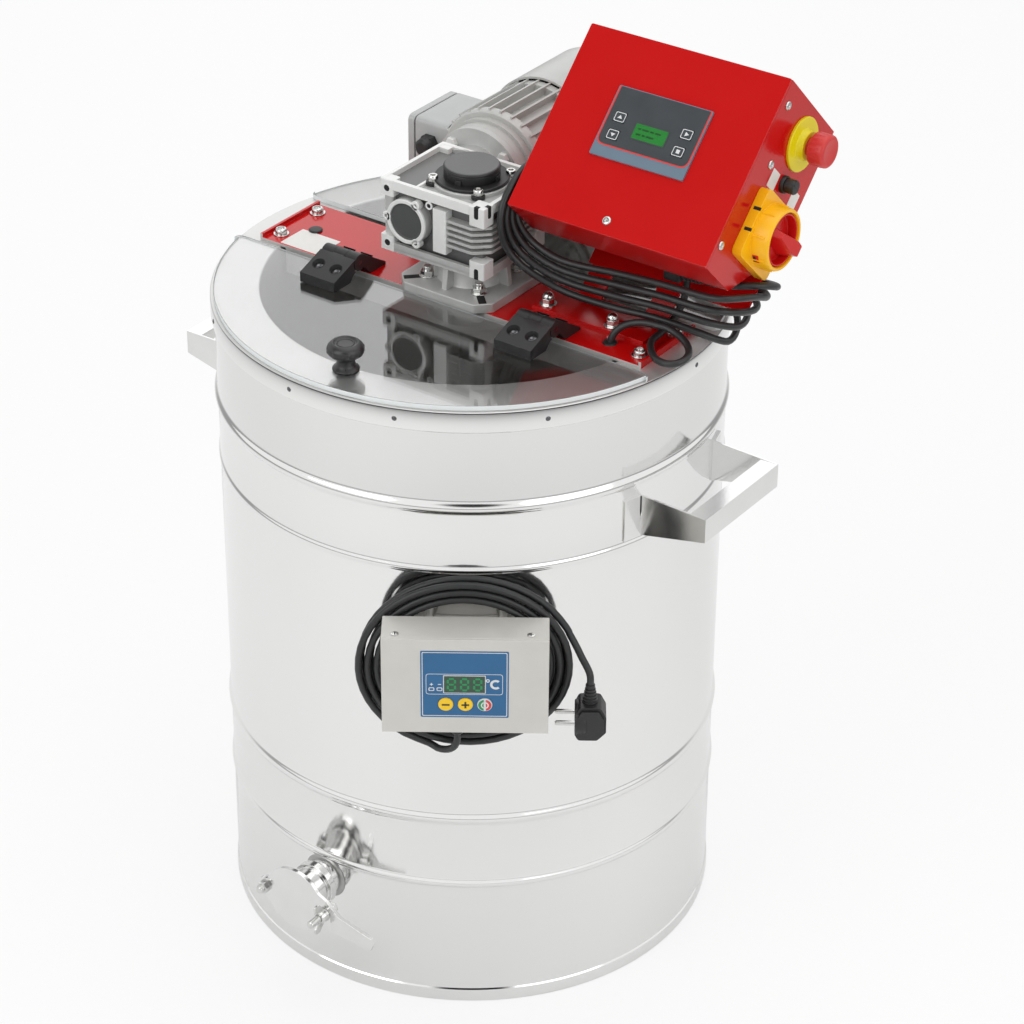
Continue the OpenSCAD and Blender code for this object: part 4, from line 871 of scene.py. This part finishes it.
def gearbox():
    """Worm gearbox: frame plates with lugs, a sunk tray, fins round the front corner and bolted caps."""
    case = Shape()
    top, low = GEAR_Z + HALF_CASE, GEAR_Z - HALF_CASE
    outer = rounded([(-71.5, -50), (50, -50), (50, 50), (-71.5, 50)], [3, 4, 5, 5], 4)
    inner = rounded([(-67.3, -45.5), (45.4, -45.5), (45.4, 45.4), (-67.3, 45.4)], [2, 3, 4, 4], 4)
    # The core behind the frame plates takes the darker cast copy as painted shade.
    case.box((-64, -41, low + 3), (42, 44, top - 8), ROW, 3, 3)
    case.box((-70.5, -46, low + 6), (-60, 46, top - 8), ROW, 0, 3)
    case.box((-64, 40, low + 4), (42, 49, top - 8), ROW, 0, 3)
    case.box((-67.6, -46, top - 11), (-31, 46, top - 5.5), ROW, 4, 3)
    case.box((-32.5, -46, top - 11), (46, 46, top - 4.2), ROW, 0, 3)
    case.box((-34, -46, top - 9), (-31, 46, top - 1.2), ROW, 1)
    case.band(outer, inner, top - 10, top, ROW, 1)
    case.prism(outer, low, low + 4)
    case.band(outer, inner, low + 3, low + 9.5, ROW, 0)
    case.lathe([(0, top - 8), (38, top - 8), (38, top - 0.8), (37.2, top), (0, top)], ROW, 0, 72)
    for x0, x1, y, down, up in ((33, 50.6, 34, 20, 18), (-71.9, -56, 38, 17, 16)):
        for y0, y1 in ((-50.6, -y), (y, 50.4)):
            case.box((x0, y0, top - down), (x1, y1, top - 0.3), ROW, 1, 2)
            case.box((x0, y0, low + 0.3), (x1, y1, low + up), ROW, 1, 2)
    fin = [(4, -30), (4, -49.8), (36, -50.2), (50.3, -37), (50.3, 40), (40, 50), (4, 50)]
    fin = rounded(fin, [0, 0, 3, 3, 2, 2, 0])
    for i in range(5):
        z = GEAR_Z - 13.5 + 6.3 * i
        case.prism(fin, z, z + 2.9)
    case.box((-9, -51.2, GEAR_Z - 22), (6.5, -40, GEAR_Z + 23), ROW, 1, 1)
    worm_face = front(-40, -50, GEAR_Z)
    case.lathe([(0, -10), (23, -10), (23, 0), (22.6, 1), (0, 1)], worm_face, 0, 64)
    seat = [(18.7, -3), (18.7, 2.4), (19.1, 2.8), (22.4, 2.8), (22.9, 2.3), (22.9, -2)]
    case.lathe(seat, worm_face, 1, 72, True)
    for turn in (60, 180, 300):
        ear = at(spun(worm_face, turn), 23, 0, 0)
        case.lathe([(2, -4), (4.9, -4), (4.9, 2.4), (4.5, 2.8), (2, 2.8)], ear, 1, 28, True)
        # Each ear's hole is a disc of painted shade.
        case.lathe([(0, -4), (2.2, -4), (2.2, 0.6), (0, 0.6)], ear, 2, 20)
    for z in (top - 9, low + 8.5):
        hole_in_face(case, front(-63.5, -50.6, z), 3.3, 1.6)
    hole_in_face(case, front(-14, -50, top - 14), 2.2, 1.8)
    face, right = front(0, -50.6, 0), spun(place(50.6, 0, 0, 90, "Z"), 90, "X")
    upper, lower = (top - 12, top + 0.2), (low + 11, low - 0.1)
    # The slots are flat patches of painted shade.
    for x, (z0, z1), where in ((39.2, upper, face), (39.2, lower, face), (-44, upper, right)):
        slot = rounded([(x, z0), (x + 5, z0), (x + 5, z1), (x, z1)], [2.4, 2.4, 0, 0])
        case.prism(slot, -4, 0.25, where, 2)
    neck = [(0, -6), (38, -6), (37, 2), (36, 8), (36, 14), (40, 15), (52.5, 15), (52.5, 22), (0, 22)]
    case.lathe(neck, motor(50), 0, 72)
    for turn in range(45, 360, 90):
        angle = radians(turn)
        boss = at(motor(50), BOLT_R * cos(angle), BOLT_R * sin(angle), 0)
        case.prism(hexagon(6.4), 10.5, 15.2, boss, 1)
    piece("gearbox_housing", case, [CAST, MACHINED, PAINTED_HOLE_SHADE, CAST_PAINTED_SHADE, TRAY], 0.6)

    flange = Shape()
    half, cut = 55, 41
    corners = [(-half, -cut), (-cut, -half), (cut, -half), (half, -cut)]
    flange.prism(rounded(corners + [(-x, -y) for x, y in corners], 5, 4), 0, 10, on_bar(0))
    neck = [(0, 9), (36, 9), (34, 12), (33.6, 28), (36, 30.5), (44, 31), (44, 35.5), (0, 35.5)]
    flange.lathe(neck, on_bar(0), 0, 64)
    for turn in range(0, 360, 90):
        flange.prism([(30, 9.5), (46, 9.5), (43, 31), (30, 31)], -3, 3, spun(on_bar(turn), 90, "X"))
    for turn in range(45, 360, 90):
        # Each corner slot is a flat patch of painted shade.
        flange.box((43, -4.2, 6), (67, 4.2, 10.15), on_bar(turn), 1, 1)
        flange.box((24, -4, 9), (38, 4, 30), on_bar(turn), 0, 1)
    piece("gearbox_flange", flange, [CAST, PAINTED_HOLE_SHADE], 0.7)

    bolts = Shape()
    for turn in range(45, 360, 90):
        spot = at(on_bar(turn), BOLT_R, 0, 10)
        bolts.lathe([(0, 0), (8.2, 0), (8.2, 1.5), (0, 1.5)], spot, 0, 28)
        bolts.prism(hexagon(7), 1.5, 6.6, spot)
        bolts.lathe([(0, 6.4), (4, 6.4), (4, 10.5), (3.4, 11.2), (0, 11.2)], spot, 0, 20)
        lid_bolt = at(on_case(turn), LID_BOLT_R, 0, 0)
        bolts.lathe([(0, 0), (5, 0), (5, 5), (4.3, 6), (2.4, 6), (2.4, 3.4), (0, 3.4)], lid_bolt, 0, 24)
    piece("gearbox_screws", bolts, [ZINC], 0.3)

    caps = Shape()
    caps.lathe([(0, 0.2), (36, 0.2), (36, 2.6), (35.4, 3.2), (30, 3.2), (0, 3.2)], on_case(), 0, 64)
    for turn in range(45, 360, 90):
        pad = at(on_case(turn), LID_BOLT_R, 0, -3.8)
        caps.lathe([(0, 0.2), (6.8, 0.2), (6.8, 3.6), (0, 3.6)], pad, 0, 28)
    dome = [(0, 3), (26.9, 3), (27.2, 5), (27.2, 11.5), (26.6, 12), (27.5, 12.4), (27.5, 13.6), (26.6, 14.8)]
    caps.lathe(dome + [(24, 15), (23, 14.4), (0, 13.9)], on_case(), 0, 72)
    caps.lathe([(0, 13), (26.2, 13), (26.2, 15.2), (25.6, 15.7), (0, 15.5)], on_case(), 1, 72)
    for turn in (8, 98, 188, 278):
        caps.box((26.4, -3.4, 3), (29, 3.4, 8.5), on_case(turn), 0, 1)
    caps.lathe([(0, 0.8), (18.5, 0.8), (18.5, 1.7), (17.2, 1.7), (16.8, 1.3), (0, 1.3)], worm_face, 2, 64)
    piece("gearbox_caps", caps, [BLACK, CAP_GREY, CAP_DARK], 0.35)
    paint("bearings", DARK_STEEL_AND_LIP_SHADE)
    paint("worm", DARK_STEEL_AND_LIP_SHADE)
    paint("worm_wheel", BRONZE)


def electric_motor():
    shell = soften("motor_frame", [MOTOR_GREY, MOTOR_PAINTED_SHADE], 0.5, angle=30)
    back = motor(0).inverted()
    # Faces of the frame's cylinder between the fins take the darker enamel as painted shade.
    for face in shell.data.polygons:
        spot = back @ (face.center / MM)
        if 40 < hypot(spot.x, spot.y) < FRAME_R + 0.6 and abs((back.to_3x3() @ face.normal).z) < 0.3:
            face.material_index = 1
    feet = Shape()
    body = motor(90)
    for turn in (35, 145, 215, 325):
        feet.box((50, -7, 2), (60.5, 7, 20), spun(body, turn), 0, 2.5)
        feet.box((50, -7, 66), (60.5, 7, 84), spun(body, turn), 0, 2.5)
    feet.lathe([(52, -0.5), (60.4, -0.5), (62.5, 3), (62.5, 9), (52, 10)], body, 0, 72, True)
    feet.lathe([(52, 76), (62.8, 77), (62.8, 86), (52, 87.4)], body, 0, 72, True)
    feet.done("motor_end_rings", "tank", "motor_paint", [MOTOR_GREY], 0.6)
    soften("fan_cowl", [MOTOR_GREY], 0.5, angle=30)
    paint("stator", COPPER)
    paint("rotor", DARK_STEEL_AND_LIP_SHADE)
    terminal_box()


def terminal_box():
    """Terminal box on the motor's side, with a screwed lid."""
    lo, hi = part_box("terminal_box")
    depth, tall, wide = ((high - low) / MM for low, high in zip(lo, hi))
    face = place(hi.x / MM, lo.y / MM, lo.z / MM, -90, "Y")
    box = Shape()
    box.prism(rectangle(0, 0, wide, tall, 6), 0, depth - 9, face, 0)
    box.prism(rectangle(1.4, 1.4, wide - 1.4, tall - 1.4, 5), depth - 10, depth - 7.4, face, 1)
    box.prism(rectangle(0, 0, wide, tall, 7), depth - 7.6, depth, face, 0)
    for a in (9, wide - 9):
        for b in (9, tall - 9):
            box.lathe([(0, -1), (3.4, -1), (3.2, 0.4), (0, 0.6)], at(face, a, b, depth), 2, 20)
    piece("terminal_box", box, [BOX_GREY, SEAL, ZINC], 1.4, segments=3)


# Control box


def control_box():
    soften("box_housing", [RED], 1.1, segments=3)
    soften("box_bracket", [RED], 0.5)
    cover = Shape()
    cover.prism(rectangle(-220, 0, 0, 192, 2, 4), -3, 0, DESK, 0)
    pan_screw(cover, at(DESK, -114, 13.6, 0))
    for u, n in ((171, -14), (118, -31), (26, -9)):
        pan_screw(cover, side(u, n))
    piece("box_cover", cover, [RED, ZINC], 0.9, segments=3)
    labels = Shape()
    for where in (side(110, -48), side(111, -100)):
        labels.box((-8, -9, 0), (8, 9, 0.25), where, 0, 1)
    labels.done("side_labels", "tank", "light_plastic", [LABEL])
    keypad()
    stop_switch()
    main_switch()


def pan_screw(made, where):
    """A round screw head with a small socket."""
    head = [(0, 0), (4.4, 0), (4.4, 0.8), (3.9, 1.6), (2.6, 2), (1.2, 2), (1, 1.2), (0, 1.2)]
    made.lathe(head, where, 1, 28)




KEYS = ((-146.5, 111), (-146, 93), (-74, 113), (-75, 95))


def keypad():
    """Keypad foil with its red outline, border, display window and marks."""
    foil = Shape()
    foil.box((-161.5, 70, 0), (-58.5, 141, 2), DESK, 1, 1.5)
    panel = rounded([(-160.6, 81), (-59.4, 81), (-59.4, 140.2), (-160.6, 140.2)], [9, 9, 1.5, 1.5], 6)
    inner = rounded([(-159.2, 82.4), (-60.8, 82.4), (-60.8, 140.2), (-159.2, 140.2)], [8, 8, 1, 1], 6)
    foil.prism(panel, 1.9, 2.12, DESK, 2)
    foil.prism(inner, 2, 2.2, DESK)
    cutter = Shape()
    for x, u in KEYS:
        cutter.box((x - 6.3, u - 5.3, -1), (x + 6.3, u + 5.3, 5), DESK)
    piece("keypad_panel", foil, [FOIL_DARK, FOIL_BLUE_GREY, FOIL_RED], 0, cutter)
    window = Shape()
    window.box((-128.5, 93.8, 2), (-90.5, 111.2, 2.5), DESK, 1, 1)
    window.box((-127, 95, 2.2), (-92, 110, 2.65), DESK, 0, 0.6)
    for row, marks in ((104.5, (3, 7, 4, 6)), (99, (5, 3, 8))):
        x = -123.5
        for wide in marks:
            window.box((x, row, 2.5), (x + wide, row + 1.6, 2.72), DESK, 2)
            x += wide + 1.6
    window.done("keypad_display", "tank", "keypad", [LCD, FOIL_DARK, LCD_MARK])
    marks = {
        "key_1": [(-2.6, -1.4), (0, 2), (2.6, -1.4)],
        "key_2": [(-2.6, 1.4), (0, -2), (2.6, 1.4)],
        "key_3": [(-1.8, -2.2), (2.4, 0), (-1.8, 2.2)],
        "key_4": [(-1.9, -1.9), (1.9, -1.9), (1.9, 1.9), (-1.9, 1.9)],
    }
    for (node, mark), (x, u) in zip(marks.items(), KEYS):
        key = Shape()
        where = at(DESK, x, u, 0)
        key.box((-6, -5, 0.6), (6, 5, 2.6), where, 0, 1.6)
        edges = (rectangle(-5.6, -4.6, 5.6, 4.6, 1.6), rectangle(-4.9, -3.9, 4.9, 3.9, 1.2))
        key.band(*edges, 2.5, 2.72, where, 1)
        key.prism(mark, 2.5, 2.72, where, 1)
        piece(node, key, [FOIL_DARK, FOIL_WHITE])


def stop_switch():
    where = side(156.5, -68.5)
    base = Shape()
    ring = [(9.1, 0), (26.5, 0), (26.5, 2.1), (25.8, 2.9), (16, 3), (14.6, 4.6), (14, 9.5), (9.1, 9.5)]
    base.lathe(ring, where, 0, 72, True)
    piece("estop_base", base, [LEMON], 0.2)
    button = Shape()
    cap = [(0, 1), (9, 1), (9, 14.6), (15.2, 14.6), (15.6, 15.2), (16, 16.4), (16, 28.4), (15.6, 30)]
    button.lathe(cap + [(14.4, 31.1), (12.6, 31.5), (11, 31.1), (0, 30.9)], where, 0, 72)
    for a in range(0, 360, 18):
        button.box((15.4, -0.9, 17), (16.2, 0.9, 26.5), spun(where, a), 0, 0.3)
    piece("estop_button", button, [STOP_RED], 0.25, angle=40)


def main_switch():
    """Yellow plate with a deep round collar; the red knob sits inside it with a slanted grip."""
    where = side(63, -65)
    plate = Shape()
    plate.prism(rectangle(-34.5, -34.5, 34.5, 34.5, 8, 7), 0, 9.9, where)
    collar = [(26, 9), (30.6, 9), (30.4, 14), (30, 25), (29.2, 27.2), (27.6, 28), (26.5, 27.4), (26, 26)]
    plate.lathe(collar, where, 0, 96, True)
    for turn in (-68, -22, 22, 68, 112, 158, 202, 248):
        plate.box((29, -0.9, 9.5), (31.4, 0.9, 23), spun(where, turn), 0, 0.5)
    holes = Shape()
    holes.lathe([(0, -2), (6.1, -2), (6.1, 20), (0, 20)], where, 0, 40)
    piece("switch_plate", plate, [YELLOW], 0.9, holes, segments=3)
    slots = Shape()
    # The slots in the plate's sides are dark boxes of painted shade.
    for x in (-34.2, 34.2):
        for y in (12, -9):
            slots.box((x - 0.7, y - 1.7, 3), (x + 0.7, y + 1.7, 10.05), where, 0, 0.8)
    # The lock's slot is a box of painted shade in a red frame.
    lock = spun(where, 246)
    slots.box((29.4, -4.4, 12), (30.9, 4.4, 18), lock, 1, 0.8)
    slots.box((29.6, -3.6, 12.6), (31.1, 3.6, 15.4), lock, 0, 0.5)
    slots.done("switch_slots", "tank", "yellow", [PAINTED_HOLE_SHADE, RED_PLASTIC])
    knob = Shape()
    bowl = [(0, 0.5), (6, 0.5), (6, 10.3), (25.2, 10.3), (25.2, 25.4), (24.6, 26.2), (23.8, 26.2)]
    knob.lathe(bowl + [(23.2, 25.4), (22.8, 17.6), (22, 17), (0, 17)], where, 0, 80)
    low = rounded([(-22.4, -5.5), (16, -11), (22.4, -7), (22.4, 7), (16, 11), (-22.4, 5.5)], 2.5, 5)
    top = rounded([(-13, -2.4), (14, -6.8), (21.6, -5.6), (21.6, 5.6), (14, 6.8), (-13, 2.4)], 1.5, 5)
    knob.solid(knob.ring(where, low, 16.5), knob.ring(where, top, 33, 0.12), 0)
    piece("switch_knob", knob, [RED_PLASTIC], 0.8, segments=3)
    fuse = side(115, -69)
    holder = Shape()
    rim = [(4.1, -20), (5.8, -20), (5.8, 0), (8.5, 0), (8.5, 3), (7.8, 4), (4.1, 4)]
    holder.lathe(rim, fuse, 0, 40, True)
    piece("fuse_holder", holder, [BLACK])
    cap = Shape()
    cap.lathe([(0, -15), (4, -15), (4, 4.3), (7, 4.3), (7.2, 12.6), (6.4, 14), (0, 14.3)], fuse, 0, 40)
    cap.box((-5, -0.8, 13.8), (5, 0.8, 14.6), fuse)
    piece("fuse_cap", cap, [BLACK], 0.3)


# Heating controller


def digit(made, x, y, z0, z1, where, look):
    """A seven-segment figure eight."""
    wide, tall, thick = 8.6, 14.5, 2
    half = tall / 2
    bars = [(x + thick, y + up, wide - 2 * thick, thick) for up in (0, half - thick / 2, tall - thick)]
    for left in (x, x + wide - thick):
        bars += [(left, y + up, thick, half - 1.6 * thick) for up in (thick, half + 0.6 * thick)]
    for a, b, w, h in bars:
        made.prism(rectangle(a, b, a + w, b + h, thick * 0.3, 2), z0, z1, where, look)


def heating_controller():
    soften("heater_box", [LIGHT_BOX], 1, segments=3)
    soften("heater_cover", [LIGHT_BOX], 0.9, segments=3)
    left, low = 36.4, HEATER_H - 12 - 74
    keys_y = HEATER_H - 71.2
    face = HEATER_FACE
    foil = Shape()
    foil.box((left, low, 0), (left + 82, low + 74, 0.2), face, 0, 1.5)
    foil.band(rectangle(left + 1.4, low + 1.4, left + 80.6, low + 72.6, 1.5),
              rectangle(left + 2.1, low + 2.1, left + 79.9, low + 71.9, 1.2), 0.15, 0.25, face, 1)
    keys = (
        ("heater_key_1", KEY_YELLOW, 59.8),
        ("heater_key_2", KEY_YELLOW, 78.1),
        ("heater_key_3", FOIL_WHITE, 96.2),
    )
    cutter = Shape()
    for _, _, x in keys:
        cutter.prism(circle(x, keys_y, 7.3, 32), -2, 4, face)
    foil.done("heater_foil", "tank", "light_plastic", [FOIL_BLUE, FOIL_WHITE], 0, cutter)
    shown = Shape()
    x0, y0 = 58.3, HEATER_H - 39.6 - 18.3
    shown.band(rectangle(left + 5, y0 - 2.4, left + 76.5, y0 + 20.6, 3),
               rectangle(left + 5.5, y0 - 1.9, left + 76, y0 + 20.1, 2.6), 0.1, 0.32, face, 2)
    shown.box((x0 - 0.8, y0 - 0.8, 0.1), (x0 + 38.8, y0 + 19.1, 0.5), face, 2, 0.8)
    shown.box((x0, y0, 0.3), (x0 + 38, y0 + 18.3, 0.7), face, 0, 0.6)
    for i in range(3):
        digit(shown, x0 + 2.6 + i * 12.2, y0 + 1.9, 0.6, 0.85, face, 1)
    degree = (x0 + 40.6, y0 + 13.4)
    shown.band(circle(*degree, 1.9, 20), circle(*degree, 0.9, 20), 0.1, 0.4, face, 2)
    letter = arc(x0 + 48, y0 + 9.2, 5.3, 48, 312, 20) + arc(x0 + 48, y0 + 9.2, 3, 312, 48, 20)
    shown.prism(letter, 0.1, 0.4, face, 2)
    for x in (left + 7.5, left + 15):
        shown.box((x, y0 + 1.5, 0.1), (x + 5.4, y0 + 5.4, 0.35), face, 2, 1.4)
        shown.box((x + 0.8, y0 + 2.3, 0.1), (x + 4.6, y0 + 4.6, 0.42), face, 3, 0.9)
        shown.box((x + 1.2, y0 + 8.4, 0.1), (x + 4.2, y0 + 9.2, 0.35), face, 2)
    shown.box((left + 9.8, y0 + 7.3, 0.1), (left + 10.6, y0 + 10.3, 0.36), face, 2)
    shown.done("heater_display", "tank", "light_plastic", [GLASS_DARK, DIGIT, FOIL_WHITE, FOIL_BLUE])
    for node, look, x in keys:
        key = Shape()
        where = at(face, x, keys_y, 0)
        key.lathe([(0, -2.4), (7, -2.4), (7, 0.9), (6.4, 1.4), (0, 1.5)], where, 0, 40)
        if node == "heater_key_3":
            key.prism(arc(0, 0, 6.1, 100, 260, 20), 1.3, 1.66, where, 2)
            key.prism(arc(0, 0, 6.1, -80, 80, 20), 1.3, 1.66, where, 1)
            key.band(circle(0, 0, 3.7, 28), circle(0, 0, 2.6, 28), 1.5, 1.8, where, 0)
            key.box((-0.6, 0.4, 1.5), (0.6, 4.4, 1.84), where)
        else:
            key.box((-3.6, -0.9, 1.3), (3.6, 0.9, 1.66), where, 3, 0.3)
            if node == "heater_key_2":
                key.box((-0.9, -3.6, 1.3), (0.9, 3.6, 1.66), where, 3, 0.3)
        piece(node, key, [look, KEY_RED, KEY_GREEN, KEY_MARK])
    screws = Shape()
    for x in (-65, 60.8):
        where = at(HEATER, x, -305, HEATER_Z + HEATER_H)
        screws.lathe([(0, 0), (3.8, 0), (3.6, 0.9), (2.2, 1.3), (0, 1.3)], where, 0, 24)
        # The screws' cross slots are painted shade.
        screws.box((-2.4, -0.45, 1.1), (2.4, 0.45, 1.42), where, 1)
        screws.box((-0.45, -2.4, 1.1), (0.45, 2.4, 1.42), where, 1)
    screws.done("heater_screws", "tank", "light_plastic", [ZINC, PAINTED_HOLE_SHADE])


def agitator():
    soften("agitator", [BRUSHED], 0.8)


def studio():
    """Pale floor, soft lamps and a white surround."""
    ground = bpy.data.meshes.new("floor")
    reach = 14
    corners = [(x, y, 0) for x, y in rectangle(-reach, -reach, reach, reach)]
    ground.from_pydata(corners, [], [(0, 1, 2, 3)])
    floor = add_object("floor", ground)
    pale = bpy.data.materials.new("pale_floor")
    pale.use_nodes = True
    tree = pale.node_tree
    matt = tree.nodes["Principled BSDF"]
    matt.inputs["Base Color"].default_value = (0.9, 0.9, 0.9, 1)
    matt.inputs["Roughness"].default_value = 0.8
    glow = add_node(tree, "Emission", {"Strength": 1})
    ray = add_node(tree, "LightPath", {}).outputs
    share = add_node(tree, "Math", {0: ray["Is Camera Ray"], 1: 0.72}, "MULTIPLY")
    spot = add_node(tree, "TexCoord", {}).outputs["Object"]
    away = add_node(tree, "VectorMath", {0: spot}, "LENGTH").outputs["Value"]
    far = {"Value": away, "From Min": 0.9, "From Max": 3, "To Min": 0, "To Max": 0.55}
    dark = add_node(tree, "Math", {0: ray["Is Glossy Ray"], 1: smooth_range(tree, far)}, "MULTIPLY")
    shadow = add_node(tree, "BsdfDiffuse", {"Color": (0.12, 0.12, 0.12, 1)})
    dim = add_node(tree, "MixShader", {0: dark, 1: matt, 2: shadow})
    blend = add_node(tree, "MixShader", {0: share, 1: dim, 2: glow})
    tree.links.new(blend.outputs[0], tree.nodes["Material Output"].inputs["Surface"])
    ground.materials.append(pale)

    world = bpy.data.worlds.new("studio")
    bpy.context.scene.world = world
    world.use_nodes = True
    tree = world.node_tree
    tree.nodes.clear()
    ray = add_node(tree, "LightPath", {}).outputs
    soft = add_node(tree, "Background", {"Color": (1, 1, 1, 1), "Strength": 0.72})
    clear = add_node(tree, "Background", {"Color": (1, 1, 1, 1), "Strength": 1})
    shiny = add_node(tree, "Background", {"Color": surround(tree), "Strength": 1})
    lit = add_node(tree, "MixShader", {0: ray["Is Glossy Ray"], 1: soft, 2: shiny})
    seen = add_node(tree, "Math", {0: ray["Is Camera Ray"], 1: ray["Is Transmission Ray"]}, "MAXIMUM")
    add_node(tree, "OutputWorld", {0: add_node(tree, "MixShader", {0: seen, 1: lit, 2: clear})})

    lamps = (
        ("key_lamp", (-0.9, -3.2, 2.6), 2.6, 34),
        ("fill_lamp", (3.2, -0.8, 2), 2.4, 16),
        ("top_lamp", (0.2, 0.6, 3.4), 2.8, 22),
        ("rim_lamp", (-2.2, 2.6, 2), 2.2, 12),
    )
    for name, spot, size, power in lamps:
        data = bpy.data.lights.new(name, "AREA")
        data.size = size
        data.energy = power
        lamp = add_object(name, data)
        lamp.location = spot
        aim = Vector((0, 0, 0.45)) - Vector(spot)
        lamp.rotation_euler = aim.to_track_quat("-Z", "Y").to_euler()


def surround(tree):
    """What polished steel mirrors: a white room, grey behind the object, dark above and at the viewer."""
    direction = add_node(tree, "TexCoord", {}).outputs["Generated"]

    def towards(x, y, z, start, end):
        aim = {0: direction, 1: Vector((x, y, z)).normalized()}
        dot = add_node(tree, "VectorMath", aim, "DOT_PRODUCT").outputs["Value"]
        return smooth_range(tree, {"Value": dot, "From Min": start, "From Max": end})

    sine, cosine = sin(CAMERA_AZIMUTH), cos(CAMERA_AZIMUTH)
    away = towards(-sine, cosine, 0, 0.35, 1)
    viewer = towards(sine, -cosine, 0.62, 0.955, 0.985)
    ceiling = towards(-0.506, -0.517, 0.692, 0.9, 0.97)
    result = (1, 1, 1, 1)
    for share, shade in ((away, (0.55, 0.56, 0.57)), (ceiling, (0.12,) * 3), (viewer, (0.03,) * 3)):
        result = add_node(tree, "Mix", {0: share, 6: result, 7: (*shade, 1)}).outputs[2]
    return result


leads()
tank()
gate()
crossbar()
lids()
hinges()
gearbox()
electric_motor()
agitator()
control_box()
heating_controller()
studio()
